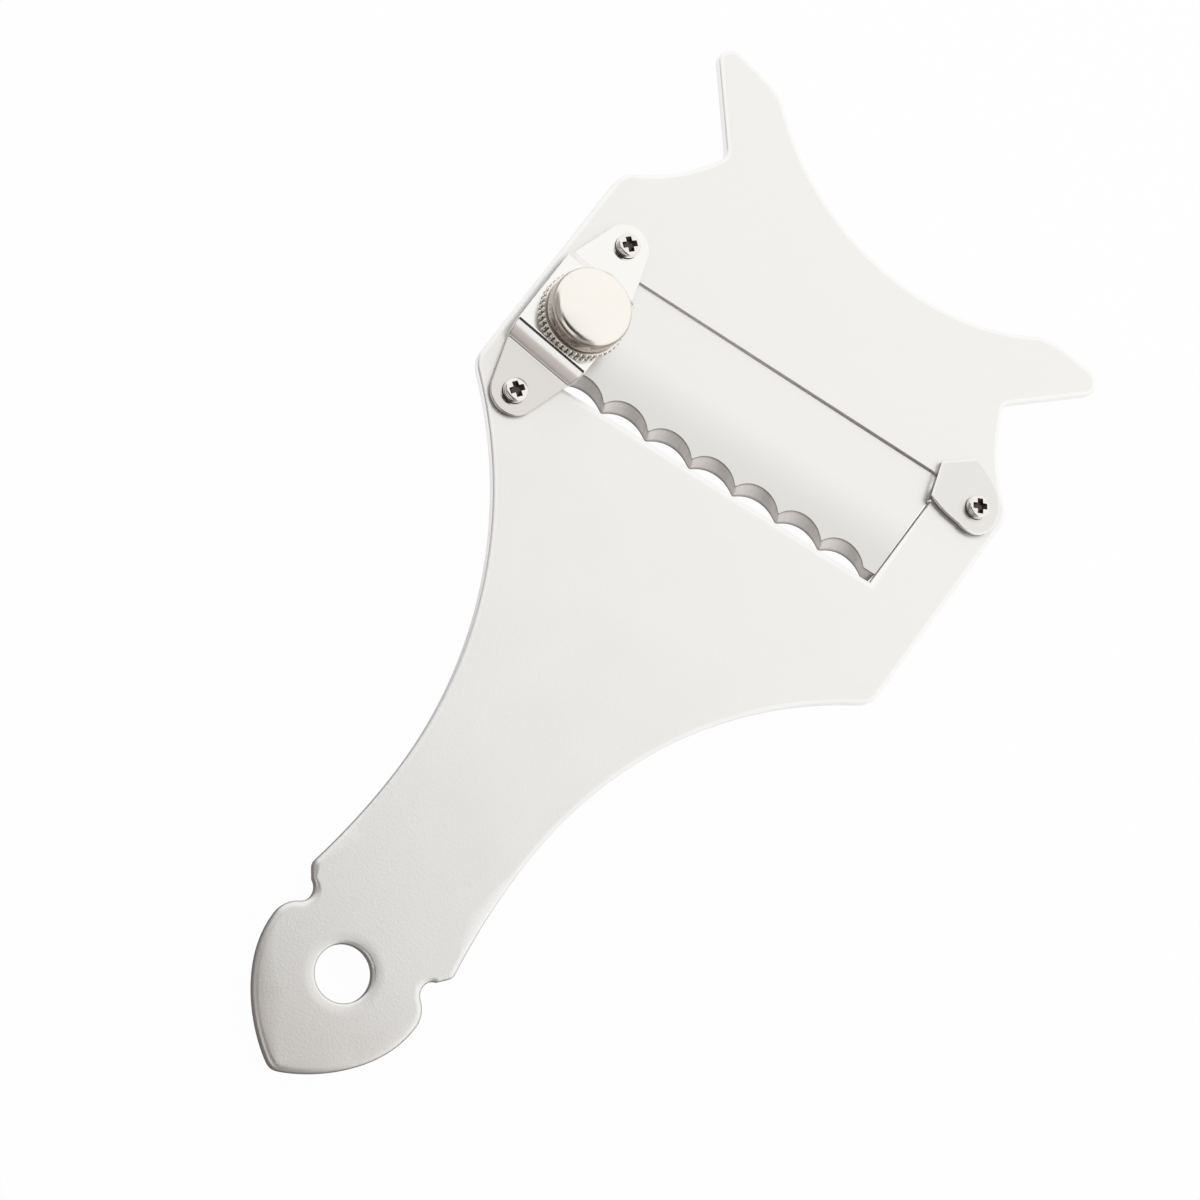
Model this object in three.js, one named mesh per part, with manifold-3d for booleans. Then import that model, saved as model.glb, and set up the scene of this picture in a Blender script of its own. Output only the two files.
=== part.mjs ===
// Hand slicer for hard cheese, chocolate and truffle: a stamped steel plate with an adjustable wavy blade.
// Millimetres, +Z up. The plate lies on its back: the origin is on its back face, at mid-length and mid-width,
// with the handle towards -Y and the two horns towards +Y.

import * as THREE from 'three';
import { mergeVertices } from 'three/addons/utils/BufferGeometryUtils.js';
import Module from 'manifold-3d';

const wasm = await Module();
wasm.setup();

// Body plate
const LENGTH = 204.8;
const PLATE_THICKNESS = 2.0;
const LEAF_WIDTH = 30.4;
const LEAF_WIDEST_Y = -81.8;
const LEAF_TIP_PULL = new THREE.Vector2(6.0, 2.6);
const LEAF_SIDE_PULL = 10.0;
const LEAF_SHOULDER_RADIUS = 4.9;
const NOTCH_CENTRE = new THREE.Vector2(14.5, -75.8);
const NOTCH_END = THREE.MathUtils.degToRad(112);
const HANDLE_FOOT_Y = -71.4;
const HANDLE_FOOT_ROUND = 0.9;
const WAIST_WIDTH = 27.2;
const WAIST_Y = -50.2;
const GRIP_RADIUS = 130.0;
const FLARE_RADIUS = 85.0;
const HEAD_FOOT_WIDTH = 95.1;
const HEAD_FOOT_Y = 17.8;
const HEAD_TOP_WIDTH = 96.8;
const HEAD_TOP_Y = 65.2;
const NECK_CORNER = new THREE.Vector2(34.9, 83.3);
const NECK_SAG = 2.4;
const HORN_CORNER = new THREE.Vector2(48.8, 99.3);
const HORN_TOP = new THREE.Vector2(46.9, 102.485);
const HORN_INNER = new THREE.Vector2(36.1, 101.8);
const HORN_ROUND = 1.5;
const ARCH_RADIUS = 51.2;
const ARCH_BOTTOM_Y = 88.15;
const CORNER_ROUND = 2.2;
const HANG_HOLE_DIAMETER = 9.8;
const HANG_HOLE_Y = -82.6;

// Slanted window and the blade in it
const SLANT = THREE.MathUtils.degToRad(9.9);
const SIDE_LEAN = THREE.MathUtils.degToRad(1.0);
const WINDOW_FOOT_Y = 30.35;
const WINDOW_TOP_Y = 57.1;
const WINDOW_LEFT_X = -43.3;
const WINDOW_RIGHT_X = 34.25;
const BLADE_THICKNESS = 1.2;
const BLADE_BOTTOM = 0.1;
const BLADE_GAP = 0.45;
const SCALLOP_COUNT = 7;
const SCALLOP_PITCH = 9.52;
const SCALLOP_DEPTH = 2.0;
const FIRST_CUSP_X = -33.1;
const CUSP_GAP = 0.35;
const BEVEL_WIDTH = 1.65;
const BEVEL_SCALLOP_DEPTH = 2.8;
const BEVEL_LEAN = -0.6;

// Ear of the blade, stepped up onto the plate
const NECK_TOP = new THREE.Vector2(31.65, 64.85);
const NECK_FOOT = new THREE.Vector2(33.87, 57.97);
const EAR_PEAK = new THREE.Vector2(36.9, 70.4);
const EAR_PEAK_ROUND = 1.0;
const EAR_CROWN = new THREE.Vector2(39.0, 69.9);
const EAR_SHOULDER = new THREE.Vector2(46.2, 68.0);
const EAR_SCREW = new THREE.Vector2(42.1, 62.1);
const EAR_CENTRE = new THREE.Vector2(42.2, 61.7);
const EAR_RADIUS = 4.8;
const EAR_BULGE = new THREE.Vector2(37.0, 56.75);
const EAR_ARC_START = THREE.MathUtils.degToRad(-105);
const EAR_ARC_END = THREE.MathUtils.degToRad(12);
const STEP_RELIEF_X = 35.6;
const STEP_START = 2.8;
const STEP_GAP = 0.3;

// Bridge bracket
const BRIDGE_CENTRE = new THREE.Vector2(-38.95, 35.9);
const BRIDGE_LEAN = THREE.MathUtils.degToRad(1.0);
const BRIDGE_THICKNESS = 1.0;
const BRIDGE_WIDTH = 15.4;
const PLATFORM_LENGTH = 16.4;
const FOOT_SPACING = 22.2;
const BRIDGE_RISE = 2.6;
const BRIDGE_SCREW_SPACING = 36.9;
const BRIDGE_EAR_RADIUS = 4.5;

// Knob, its screw and the nut on the blade
const KNOB_CENTRE = new THREE.Vector2(-37.8, 36.4);
const KNOB_GAP = 0.1;
const KNURL_DIAMETER = 17.2;
const KNURL_HEIGHT = 2.2;
const KNURL_TEETH = 48;
const KNURL_DEPTH = 0.4;
const KNURL_TOOTH_EDGES = [0.3, 0.7];
const CAP_DIAMETER = 15.0;
const CAP_GROOVE = 0.4;
const CAP_HEIGHT = 3.4;
const CAP_ROUND = 1.3;
const CAP_ROUND_TURN = THREE.MathUtils.degToRad(78);
const CAP_CROWN = 0.9;
const STEM_DIAMETER = 4.0;
const STEM_CLEARANCE = 0.4;
const STEM_BOTTOM = 0.15;
const STEM_INTO_KNOB = 2.8;
const KNOB_BORE_GAP = 0.1;
const KNOB_BORE_SPARE = 0.2;
const NUT_DIAMETER = 6.8;
const NUT_HEIGHT = 2.6;

// Cross-recess pan-head screws
const SCREW_HEAD_DIAMETER = 4.5;
const SCREW_HEAD_HEIGHT = 1.65;
const SCREW_HEAD_ROUND = 0.5;
const SCREW_SHANK_DIAMETER = 2.5;
const SCREW_CLEARANCE = 0.15;
const SCREW_TIP = 0.1;
const RECESS_SPAN = 2.9;
const RECESS_ARM = 0.8;
const RECESS_DEPTH = 1.0;
const LOWER_SCREW_TURN = THREE.MathUtils.degToRad(58);
const UPPER_SCREW_TURN = THREE.MathUtils.degToRad(51);
const EAR_SCREW_TURN = THREE.MathUtils.degToRad(35);

// Chamfer at the ends of screws and nut, and smoothness of round shapes
const END_CHAMFER = 0.3;
const CURVE_STEPS = 12;
const ROUND_SIDES = 32;
const PROFILE_STEPS = 4;

const satinSteel = { color: 0xdcdbd8, roughness: 0.42, metalness: 1.0 };
const polishedSteel = { color: 0xd9d5d1, roughness: 0.2, metalness: 1.0 };
const nickel = { color: 0xe4ddcf, roughness: 0.16, metalness: 1.0 };

const slicer = new THREE.Group();

function addPart(name, geometry, finish) {
  const mesh = new THREE.Mesh(geometry, new THREE.MeshStandardMaterial(finish));
  mesh.name = name;
  slicer.add(mesh);
}

// Shared shape helpers

function extrude(shape, bottom, top, steps = CURVE_STEPS) {
  const geometry = new THREE.ExtrudeGeometry(shape, {
    depth: top - bottom,
    bevelEnabled: false,
    curveSegments: steps,
  });
  return geometry.translate(0, 0, bottom);
}

function lathe(profile, x, y) {
  const points = profile.map(([radius, height]) => new THREE.Vector2(radius, height));
  const geometry = new THREE.LatheGeometry(points, ROUND_SIDES);
  return geometry.rotateX(Math.PI / 2).translate(x, y, 0);
}

function circlePath(x, y, radius) {
  return new THREE.Path().absarc(x, y, radius, 0, 2 * Math.PI, true);
}

// Adds a line up to a corner and a curve round it that leaves towards the next place.
function turnCorner(path, corner, next, round) {
  const before = path.currentPoint.clone().sub(corner).setLength(round).add(corner);
  const after = next.clone().sub(corner).setLength(round).add(corner);
  path.lineTo(before.x, before.y);
  path.quadraticCurveTo(corner.x, corner.y, after.x, after.y);
}

function toSolid(geometry) {
  const bare = geometry.clone();
  bare.deleteAttribute('normal');
  bare.deleteAttribute('uv');
  const merged = mergeVertices(bare, 1e-5);
  const index = merged.index.array;
  const corners = [];
  for (let i = 0; i < index.length; i += 3) {
    const [a, b, c] = [index[i], index[i + 1], index[i + 2]];
    if (a !== b && b !== c && c !== a) {
      corners.push(a, b, c);
    }
  }
  return new wasm.Manifold(new wasm.Mesh({
    numProp: 3,
    vertProperties: new Float32Array(merged.attributes.position.array),
    triVerts: new Uint32Array(corners),
  }));
}

function toGeometry(solid) {
  const mesh = solid.getMesh();
  const geometry = new THREE.BufferGeometry();
  geometry.setAttribute('position', new THREE.BufferAttribute(mesh.vertProperties, 3));
  geometry.setIndex(new THREE.BufferAttribute(mesh.triVerts, 1));
  return geometry;
}

// A closed sheet whose top and bottom outlines have matching points, with the same round holes through both.
function loft(bottomOutline, topOutline, holes, bottom, top) {
  const rings = [bottomOutline, ...holes];
  const bottomPoints = rings.flat();
  const topPoints = [topOutline, ...holes].flat();
  const count = bottomPoints.length;
  const positions = [];
  bottomPoints.forEach((point) => positions.push(point.x, point.y, bottom));
  topPoints.forEach((point) => positions.push(point.x, point.y, top));
  const index = [];
  for (const [a, b, c] of THREE.ShapeUtils.triangulateShape(bottomOutline, holes)) {
    index.push(a, c, b);
  }
  for (const [a, b, c] of THREE.ShapeUtils.triangulateShape(topOutline, holes)) {
    index.push(count + a, count + b, count + c);
  }
  let start = 0;
  for (const ring of rings) {
    for (let i = 0; i < ring.length; i += 1) {
      const here = start + i;
      const next = start + ((i + 1) % ring.length);
      index.push(here, next, count + next);
      index.push(here, count + next, count + here);
    }
    start += ring.length;
  }
  const geometry = new THREE.BufferGeometry();
  geometry.setAttribute('position', new THREE.Float32BufferAttribute(positions, 3));
  geometry.setIndex(index);
  return geometry;
}

// Body plate

// Right half of the outline, from the tip of the leaf to the middle of the arch between the horns.
function halfOutline() {
  const path = new THREE.Path();
  const tipY = -LENGTH / 2;

  // Leaf-shaped end: one long curve from the tip to the widest place, then round the shoulder into the notch
  const leafHalf = LEAF_WIDTH / 2;
  const shoulder = new THREE.Vector2(leafHalf - LEAF_SHOULDER_RADIUS, LEAF_WIDEST_Y);
  const toNotch = NOTCH_CENTRE.clone().sub(shoulder);
  const notchRadius = toNotch.length() - LEAF_SHOULDER_RADIUS;
  const notchStart = toNotch.angle() + Math.PI;
  const sidePullY = LEAF_WIDEST_Y - LEAF_SIDE_PULL;
  path.moveTo(0, tipY);
  path.bezierCurveTo(LEAF_TIP_PULL.x, tipY + LEAF_TIP_PULL.y, leafHalf, sidePullY, leafHalf, LEAF_WIDEST_Y);
  path.absarc(shoulder.x, shoulder.y, LEAF_SHOULDER_RADIUS, 0, toNotch.angle(), false);
  path.absarc(NOTCH_CENTRE.x, NOTCH_CENTRE.y, notchRadius, notchStart, NOTCH_END, true);

  // Grip below the waist and flare above it: two arcs up to the foot of the head
  const gripX = WAIST_WIDTH / 2 + GRIP_RADIUS;
  const flareX = WAIST_WIDTH / 2 + FLARE_RADIUS;
  const gripAngle = (y) => Math.PI - Math.asin((y - WAIST_Y) / GRIP_RADIUS);
  const gripAt = (y) => new THREE.Vector2(gripX + GRIP_RADIUS * Math.cos(gripAngle(y)), y);
  const gripStart = HANDLE_FOOT_Y + HANDLE_FOOT_ROUND;
  const flareEnd = Math.PI - Math.asin((HEAD_FOOT_Y - CORNER_ROUND * Math.SQRT1_2 - WAIST_Y) / FLARE_RADIUS);
  turnCorner(path, gripAt(HANDLE_FOOT_Y), gripAt(gripStart), HANDLE_FOOT_ROUND);
  path.absarc(gripX, WAIST_Y, GRIP_RADIUS, gripAngle(gripStart), Math.PI, true);
  path.absarc(flareX, WAIST_Y, FLARE_RADIUS, Math.PI, flareEnd, true);

  // Straight side of the head between two rounded corners
  const foot = new THREE.Vector2(HEAD_FOOT_WIDTH / 2, HEAD_FOOT_Y);
  const top = new THREE.Vector2(HEAD_TOP_WIDTH / 2, HEAD_TOP_Y);
  path.quadraticCurveTo(foot.x, foot.y, foot.x, foot.y + CORNER_ROUND);
  turnCorner(path, top, NECK_CORNER, CORNER_ROUND);

  // Hollow between shoulder and horn, rounded neck, then the straight underside of the horn
  const hollowStart = path.currentPoint.clone();
  const hollowEnd = top.clone().sub(NECK_CORNER).setLength(CORNER_ROUND).add(NECK_CORNER);
  const chord = hollowEnd.clone().sub(hollowStart);
  const inward = new THREE.Vector2(-chord.y, chord.x).normalize();
  const hollow = hollowStart.clone().lerp(hollowEnd, 0.5).addScaledVector(inward, NECK_SAG);
  path.quadraticCurveTo(hollow.x, hollow.y, hollowEnd.x, hollowEnd.y);
  turnCorner(path, NECK_CORNER, HORN_CORNER, CORNER_ROUND);

  // Blunt horn tip and its flat top, then the arch
  const archY = ARCH_BOTTOM_Y + ARCH_RADIUS;
  const archStart = -Math.acos((HORN_INNER.x - HORN_ROUND) / ARCH_RADIUS);
  turnCorner(path, HORN_CORNER, HORN_TOP, HORN_ROUND);
  turnCorner(path, HORN_TOP, HORN_INNER, HORN_ROUND);
  path.lineTo(HORN_INNER.x + HORN_ROUND, HORN_INNER.y);
  const archStartX = ARCH_RADIUS * Math.cos(archStart);
  const archStartY = archY + ARCH_RADIUS * Math.sin(archStart);
  path.quadraticCurveTo(HORN_INNER.x, HORN_INNER.y, archStartX, archStartY);
  path.absarc(0, archY, ARCH_RADIUS, archStart, -Math.PI / 2, true);
  return path.getPoints(CURVE_STEPS);
}

function windowFootY(x) {
  return WINDOW_FOOT_Y + x * Math.tan(SLANT);
}

function windowTopY(x) {
  return WINDOW_TOP_Y + x * Math.tan(SLANT);
}

function windowRightX(y) {
  return WINDOW_RIGHT_X + (y - windowFootY(WINDOW_RIGHT_X)) * Math.tan(SIDE_LEAN);
}

// The window, with a relief at its upper right corner for the step of the blade's ear.
function windowPath() {
  const reliefY = NECK_FOOT.y - STEP_GAP;
  const path = new THREE.Path();
  path.moveTo(WINDOW_LEFT_X, windowFootY(WINDOW_LEFT_X));
  path.lineTo(WINDOW_LEFT_X, windowTopY(WINDOW_LEFT_X));
  path.lineTo(STEP_RELIEF_X, windowTopY(STEP_RELIEF_X));
  path.lineTo(STEP_RELIEF_X, reliefY);
  path.lineTo(windowRightX(reliefY), reliefY);
  path.lineTo(WINDOW_RIGHT_X, windowFootY(WINDOW_RIGHT_X));
  path.closePath();
  return path;
}

const screwHole = SCREW_SHANK_DIAMETER / 2 + SCREW_CLEARANCE;
const stemHole = STEM_DIAMETER / 2 + STEM_CLEARANCE;
const bridgeScrews = [-0.5, 0.5].map((side) => (
  new THREE.Vector2(0, side * BRIDGE_SCREW_SPACING).rotateAround(new THREE.Vector2(), BRIDGE_LEAN).add(BRIDGE_CENTRE)
));

function plateGeometry() {
  const right = halfOutline();
  const left = right.slice(1, -1).reverse().map((point) => new THREE.Vector2(-point.x, point.y));
  const shape = new THREE.Shape([...right, ...left]);
  shape.holes.push(windowPath());
  shape.holes.push(circlePath(0, HANG_HOLE_Y, HANG_HOLE_DIAMETER / 2));
  for (const screw of [...bridgeScrews, EAR_SCREW]) {
    shape.holes.push(circlePath(screw.x, screw.y, screwHole));
  }
  return extrude(shape, 0, PLATE_THICKNESS, ROUND_SIDES / 2);
}

// Blade

const bladeTop = BLADE_BOTTOM + BLADE_THICKNESS;
const along = new THREE.Vector2(Math.cos(SLANT), Math.sin(SLANT));
const across = new THREE.Vector2(-Math.sin(SLANT), Math.cos(SLANT));

// Unit vectors along the step between blade and ear, and away from it towards the blade.
const neckAlong = NECK_FOOT.clone().sub(NECK_TOP).normalize();
const neckToBlade = new THREE.Vector2(neckAlong.y, -neckAlong.x);

// Height of a circular scallop of the given depth above the line of its cusps, at a place within one pitch.
function scallopHeight(place, depth) {
  const half = SCALLOP_PITCH / 2;
  const radius = (half ** 2 + depth ** 2) / (2 * depth);
  return Math.sqrt(radius ** 2 - (place - half) ** 2) - (radius - depth);
}

// One wavy line from the first cusp of the blade to its last, raised and shifted off the cusp line.
function wavyLine(depth, raise, shift) {
  const cusp = new THREE.Vector2(FIRST_CUSP_X, windowFootY(FIRST_CUSP_X)).addScaledVector(across, CUSP_GAP);
  const first = cusp.addScaledVector(across, raise).addScaledVector(along, shift);
  const points = [];
  for (let scallop = 0; scallop < SCALLOP_COUNT; scallop += 1) {
    for (let step = 0; step < CURVE_STEPS; step += 1) {
      const place = (step / CURVE_STEPS) * SCALLOP_PITCH;
      const point = first.clone().addScaledVector(along, scallop * SCALLOP_PITCH + place);
      points.push(point.addScaledVector(across, scallopHeight(place, depth)));
    }
  }
  points.push(first.clone().addScaledVector(along, SCALLOP_COUNT * SCALLOP_PITCH));
  return points;
}

function bladeOutline(depth, raise, shift) {
  const leftX = WINDOW_LEFT_X + BLADE_GAP;
  const wave = wavyLine(depth, raise, shift);
  const lastCusp = wave[wave.length - 1];
  const rightX = windowRightX(lastCusp.y) - BLADE_GAP;
  const neckFoot = NECK_FOOT.clone().addScaledVector(neckToBlade, STEP_GAP);
  const stepY = NECK_FOOT.y - 2 * STEP_GAP;
  const topX = neckFoot.x + (windowTopY(neckFoot.x) - BLADE_GAP - neckFoot.y) * (neckAlong.x / neckAlong.y);
  return [
    new THREE.Vector2(leftX, wave[0].y + (leftX - wave[0].x) * Math.tan(SLANT)),
    ...wave,
    new THREE.Vector2(rightX, lastCusp.y + (rightX - lastCusp.x) * Math.tan(SLANT)),
    new THREE.Vector2(windowRightX(stepY) - BLADE_GAP, stepY),
    new THREE.Vector2(neckFoot.x - neckAlong.x * STEP_GAP, stepY),
    new THREE.Vector2(topX, windowTopY(topX) - BLADE_GAP),
    new THREE.Vector2(leftX, windowTopY(leftX) - BLADE_GAP),
  ];
}

function bladeGeometry() {
  const bottom = bladeOutline(SCALLOP_DEPTH, 0, 0);
  const top = bladeOutline(BEVEL_SCALLOP_DEPTH, BEVEL_WIDTH, BEVEL_LEAN);
  const hole = circlePath(KNOB_CENTRE.x, KNOB_CENTRE.y, stemHole);
  return loft(bottom, top, [hole.getPoints(ROUND_SIDES).slice(0, -1)], BLADE_BOTTOM, bladeTop);
}

// The ear lies on the plate; its step goes down into the window, level with the blade.
function earGeometry() {
  const earTop = PLATE_THICKNESS + BLADE_THICKNESS;
  const shape = new THREE.Shape();
  shape.moveTo(NECK_TOP.x, NECK_TOP.y);
  shape.lineTo(NECK_FOOT.x, NECK_FOOT.y);
  const arcStartX = EAR_CENTRE.x + EAR_RADIUS * Math.cos(EAR_ARC_START);
  const arcStartY = EAR_CENTRE.y + EAR_RADIUS * Math.sin(EAR_ARC_START);
  shape.quadraticCurveTo(EAR_BULGE.x, EAR_BULGE.y, arcStartX, arcStartY);
  shape.absarc(EAR_CENTRE.x, EAR_CENTRE.y, EAR_RADIUS, EAR_ARC_START, EAR_ARC_END, false);
  shape.quadraticCurveTo(EAR_SHOULDER.x, EAR_SHOULDER.y, EAR_CROWN.x, EAR_CROWN.y);
  turnCorner(shape, EAR_PEAK, NECK_TOP, EAR_PEAK_ROUND);
  shape.closePath();
  shape.holes.push(circlePath(EAR_SCREW.x, EAR_SCREW.y, screwHole));
  const ear = toSolid(extrude(shape, PLATE_THICKNESS, earTop));

  const stepTop = NECK_TOP.clone().addScaledVector(neckAlong, STEP_START);
  const step = new THREE.Shape([
    stepTop,
    NECK_FOOT,
    NECK_FOOT.clone().addScaledVector(neckToBlade, -BLADE_THICKNESS),
    stepTop.clone().addScaledVector(neckToBlade, -BLADE_THICKNESS),
  ]);
  return toGeometry(ear.add(toSolid(extrude(step, BLADE_BOTTOM, earTop))));
}

// Bridge bracket, drawn about its own centre

const earSheetTop = PLATE_THICKNESS + BRIDGE_THICKNESS;
const platformTop = earSheetTop + BRIDGE_RISE;

// Side view of the bent sheet, swept across the bracket's width.
function hatGeometry() {
  const reach = BRIDGE_SCREW_SPACING / 2 + 2 * BRIDGE_EAR_RADIUS;
  const footY = FOOT_SPACING / 2;
  const bendY = PLATFORM_LENGTH / 2;
  const bendShift = BRIDGE_THICKNESS * Math.tan(Math.atan2(BRIDGE_RISE, footY - bendY) / 2);
  const upper = [[reach, earSheetTop], [footY, earSheetTop], [bendY, platformTop]];
  const lower = upper.map(([y, z], i) => [i ? y - bendShift : y, z - BRIDGE_THICKNESS]);
  const rightSide = [...lower.slice().reverse(), ...upper];
  const leftSide = rightSide.slice().reverse().map(([y, z]) => [-y, z]);
  const outline = [...rightSide, ...leftSide].map(([y, z]) => new THREE.Vector2(y, z));
  const width = 2 * BRIDGE_WIDTH;
  const sheet = new THREE.ExtrudeGeometry(new THREE.Shape(outline), { depth: width, bevelEnabled: false });
  sheet.translate(0, 0, -width / 2);
  return sheet.applyMatrix4(new THREE.Matrix4().set(0, 0, 1, 0, 1, 0, 0, 0, 0, 1, 0, 0, 0, 0, 0, 1));
}

// Plan of the bracket: parallel sides at the platform, then straight tapers touching a round end at each screw.
function bridgePlan() {
  const halfWidth = BRIDGE_WIDTH / 2;
  const halfPlatform = PLATFORM_LENGTH / 2;
  const screwY = BRIDGE_SCREW_SPACING / 2;
  const rise = screwY - halfPlatform;
  const towards = Math.atan2(rise, -halfWidth);
  const taper = towards - Math.asin(BRIDGE_EAR_RADIUS / Math.hypot(halfWidth, rise));
  const touch = taper - Math.PI / 2;
  const knob = KNOB_CENTRE.clone().sub(BRIDGE_CENTRE).rotateAround(new THREE.Vector2(), -BRIDGE_LEAN);
  const shape = new THREE.Shape();
  shape.moveTo(halfWidth, -halfPlatform);
  shape.lineTo(halfWidth, halfPlatform);
  shape.absarc(0, screwY, BRIDGE_EAR_RADIUS, touch, Math.PI - touch, false);
  shape.lineTo(-halfWidth, halfPlatform);
  shape.lineTo(-halfWidth, -halfPlatform);
  shape.absarc(0, -screwY, BRIDGE_EAR_RADIUS, Math.PI + touch, 2 * Math.PI - touch, false);
  shape.closePath();
  shape.holes.push(circlePath(0, screwY, screwHole));
  shape.holes.push(circlePath(0, -screwY, screwHole));
  shape.holes.push(circlePath(knob.x, knob.y, stemHole));
  return shape;
}

function bridgeGeometry() {
  const plan = extrude(bridgePlan(), 0, 2 * platformTop, ROUND_SIDES / 2);
  const bracket = toGeometry(toSolid(hatGeometry()).intersect(toSolid(plan)));
  return bracket.rotateZ(BRIDGE_LEAN).translate(BRIDGE_CENTRE.x, BRIDGE_CENTRE.y, 0);
}

// Knob, screw and nut

const knobBottom = platformTop + KNOB_GAP;

function knurlShape() {
  const outer = KNURL_DIAMETER / 2;
  const toothAngle = (2 * Math.PI) / KNURL_TEETH;
  const points = [];
  for (let tooth = 0; tooth < KNURL_TEETH; tooth += 1) {
    const root = [0, outer - KNURL_DEPTH];
    for (const [turn, radius] of [root, ...KNURL_TOOTH_EDGES.map((edge) => [edge, outer])]) {
      const angle = (tooth + turn) * toothAngle;
      points.push(new THREE.Vector2(radius * Math.cos(angle), radius * Math.sin(angle)));
    }
  }
  const shape = new THREE.Shape(points);
  shape.holes.push(circlePath(0, 0, CAP_DIAMETER / 2 - 2 * CAP_GROOVE));
  return shape;
}

function knobGeometry() {
  const capRadius = CAP_DIAMETER / 2;
  const boreRadius = STEM_DIAMETER / 2 + KNOB_BORE_GAP;
  const boreTop = knobBottom + STEM_INTO_KNOB + KNOB_BORE_SPARE;
  const knurlTop = knobBottom + KNURL_HEIGHT;
  const rimTop = knurlTop + CAP_HEIGHT;
  const profile = [
    [0, boreTop],
    [boreRadius, boreTop],
    [boreRadius, knobBottom],
    [capRadius - CAP_GROOVE, knobBottom],
    [capRadius - CAP_GROOVE, knurlTop + CAP_GROOVE],
    [capRadius, knurlTop + 2 * CAP_GROOVE],
    [capRadius, rimTop - CAP_ROUND],
  ];
  for (let step = 1; step <= PROFILE_STEPS; step += 1) {
    const angle = (step / PROFILE_STEPS) * CAP_ROUND_TURN;
    profile.push([
      capRadius - CAP_ROUND * (1 - Math.cos(angle)),
      rimTop - CAP_ROUND * (1 - Math.sin(angle)),
    ]);
  }
  const [edgeRadius, edgeTop] = profile[profile.length - 1];
  for (let step = PROFILE_STEPS - 1; step >= 0; step -= 1) {
    const share = step / PROFILE_STEPS;
    profile.push([edgeRadius * share, edgeTop + CAP_CROWN * (1 - share ** 2)]);
  }
  const cap = toSolid(lathe(profile, 0, 0));
  const knurl = toSolid(extrude(knurlShape(), knobBottom, knurlTop));
  return toGeometry(cap.add(knurl)).translate(KNOB_CENTRE.x, KNOB_CENTRE.y, 0);
}

function stemGeometry() {
  const radius = STEM_DIAMETER / 2;
  const top = knobBottom + STEM_INTO_KNOB;
  const profile = [
    [0, STEM_BOTTOM],
    [radius - END_CHAMFER, STEM_BOTTOM],
    [radius, STEM_BOTTOM + END_CHAMFER],
    [radius, top],
    [0, top],
  ];
  return lathe(profile, KNOB_CENTRE.x, KNOB_CENTRE.y);
}

function nutGeometry() {
  const outer = NUT_DIAMETER / 2;
  const top = bladeTop + NUT_HEIGHT;
  const profile = [
    [stemHole, bladeTop],
    [outer, bladeTop],
    [outer, top - END_CHAMFER],
    [outer - END_CHAMFER, top],
    [stemHole, top],
    [stemHole, bladeTop],
  ];
  return lathe(profile, KNOB_CENTRE.x, KNOB_CENTRE.y);
}

// Screws

function screwGeometry(place, seat, turn) {
  const shank = SCREW_SHANK_DIAMETER / 2;
  const head = SCREW_HEAD_DIAMETER / 2;
  const top = seat + SCREW_HEAD_HEIGHT;
  const profile = [
    [0, SCREW_TIP],
    [shank - END_CHAMFER, SCREW_TIP],
    [shank, SCREW_TIP + END_CHAMFER],
    [shank, seat],
    [head, seat],
  ];
  for (let step = 0; step <= PROFILE_STEPS; step += 1) {
    const angle = (step / PROFILE_STEPS) * (Math.PI / 2);
    profile.push([
      head - SCREW_HEAD_ROUND * (1 - Math.cos(angle)),
      top - SCREW_HEAD_ROUND * (1 - Math.sin(angle)),
    ]);
  }
  profile.push([0, top]);
  const body = toSolid(lathe(profile, 0, 0));
  const long = RECESS_SPAN / 2;
  const slim = RECESS_ARM / 2;
  const corners = [[long, -slim], [long, slim], [slim, slim]];
  const cross = new THREE.Shape([0, 1, 2, 3].flatMap((quarter) => corners.map(([x, y]) => (
    new THREE.Vector2(x, y).rotateAround(new THREE.Vector2(), (quarter * Math.PI) / 2)
  ))));
  const recess = toSolid(extrude(cross, top - RECESS_DEPTH, top + RECESS_DEPTH));
  return toGeometry(body.subtract(recess)).rotateZ(turn).translate(place.x, place.y, 0);
}

addPart('body_plate', plateGeometry(), satinSteel);
addPart('cutting_blade', bladeGeometry(), satinSteel);
addPart('blade_ear', earGeometry(), satinSteel);
addPart('bridge_bracket', bridgeGeometry(), polishedSteel);
addPart('adjusting_knob', knobGeometry(), nickel);
addPart('adjusting_screw', stemGeometry(), polishedSteel);
addPart('blade_nut', nutGeometry(), polishedSteel);
addPart('bridge_screw_lower', screwGeometry(bridgeScrews[0], earSheetTop, LOWER_SCREW_TURN), nickel);
addPart('bridge_screw_upper', screwGeometry(bridgeScrews[1], earSheetTop, UPPER_SCREW_TURN), nickel);
addPart('blade_screw', screwGeometry(EAR_SCREW, PLATE_THICKNESS + BLADE_THICKNESS, EAR_SCREW_TURN), nickel);

export default slicer;
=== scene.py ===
"""Dressed model of an all-steel hand slicer with an adjustable wavy blade, on its back in a light tent."""

import logging
import math
from dataclasses import dataclass, field
from enum import Enum
from functools import cache
from typing import Callable, ClassVar, Optional, Sequence

import bmesh
import bpy
import numpy as np
from mathutils import Matrix, Vector
from mathutils.geometry import delaunay_2d_cdt


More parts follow.
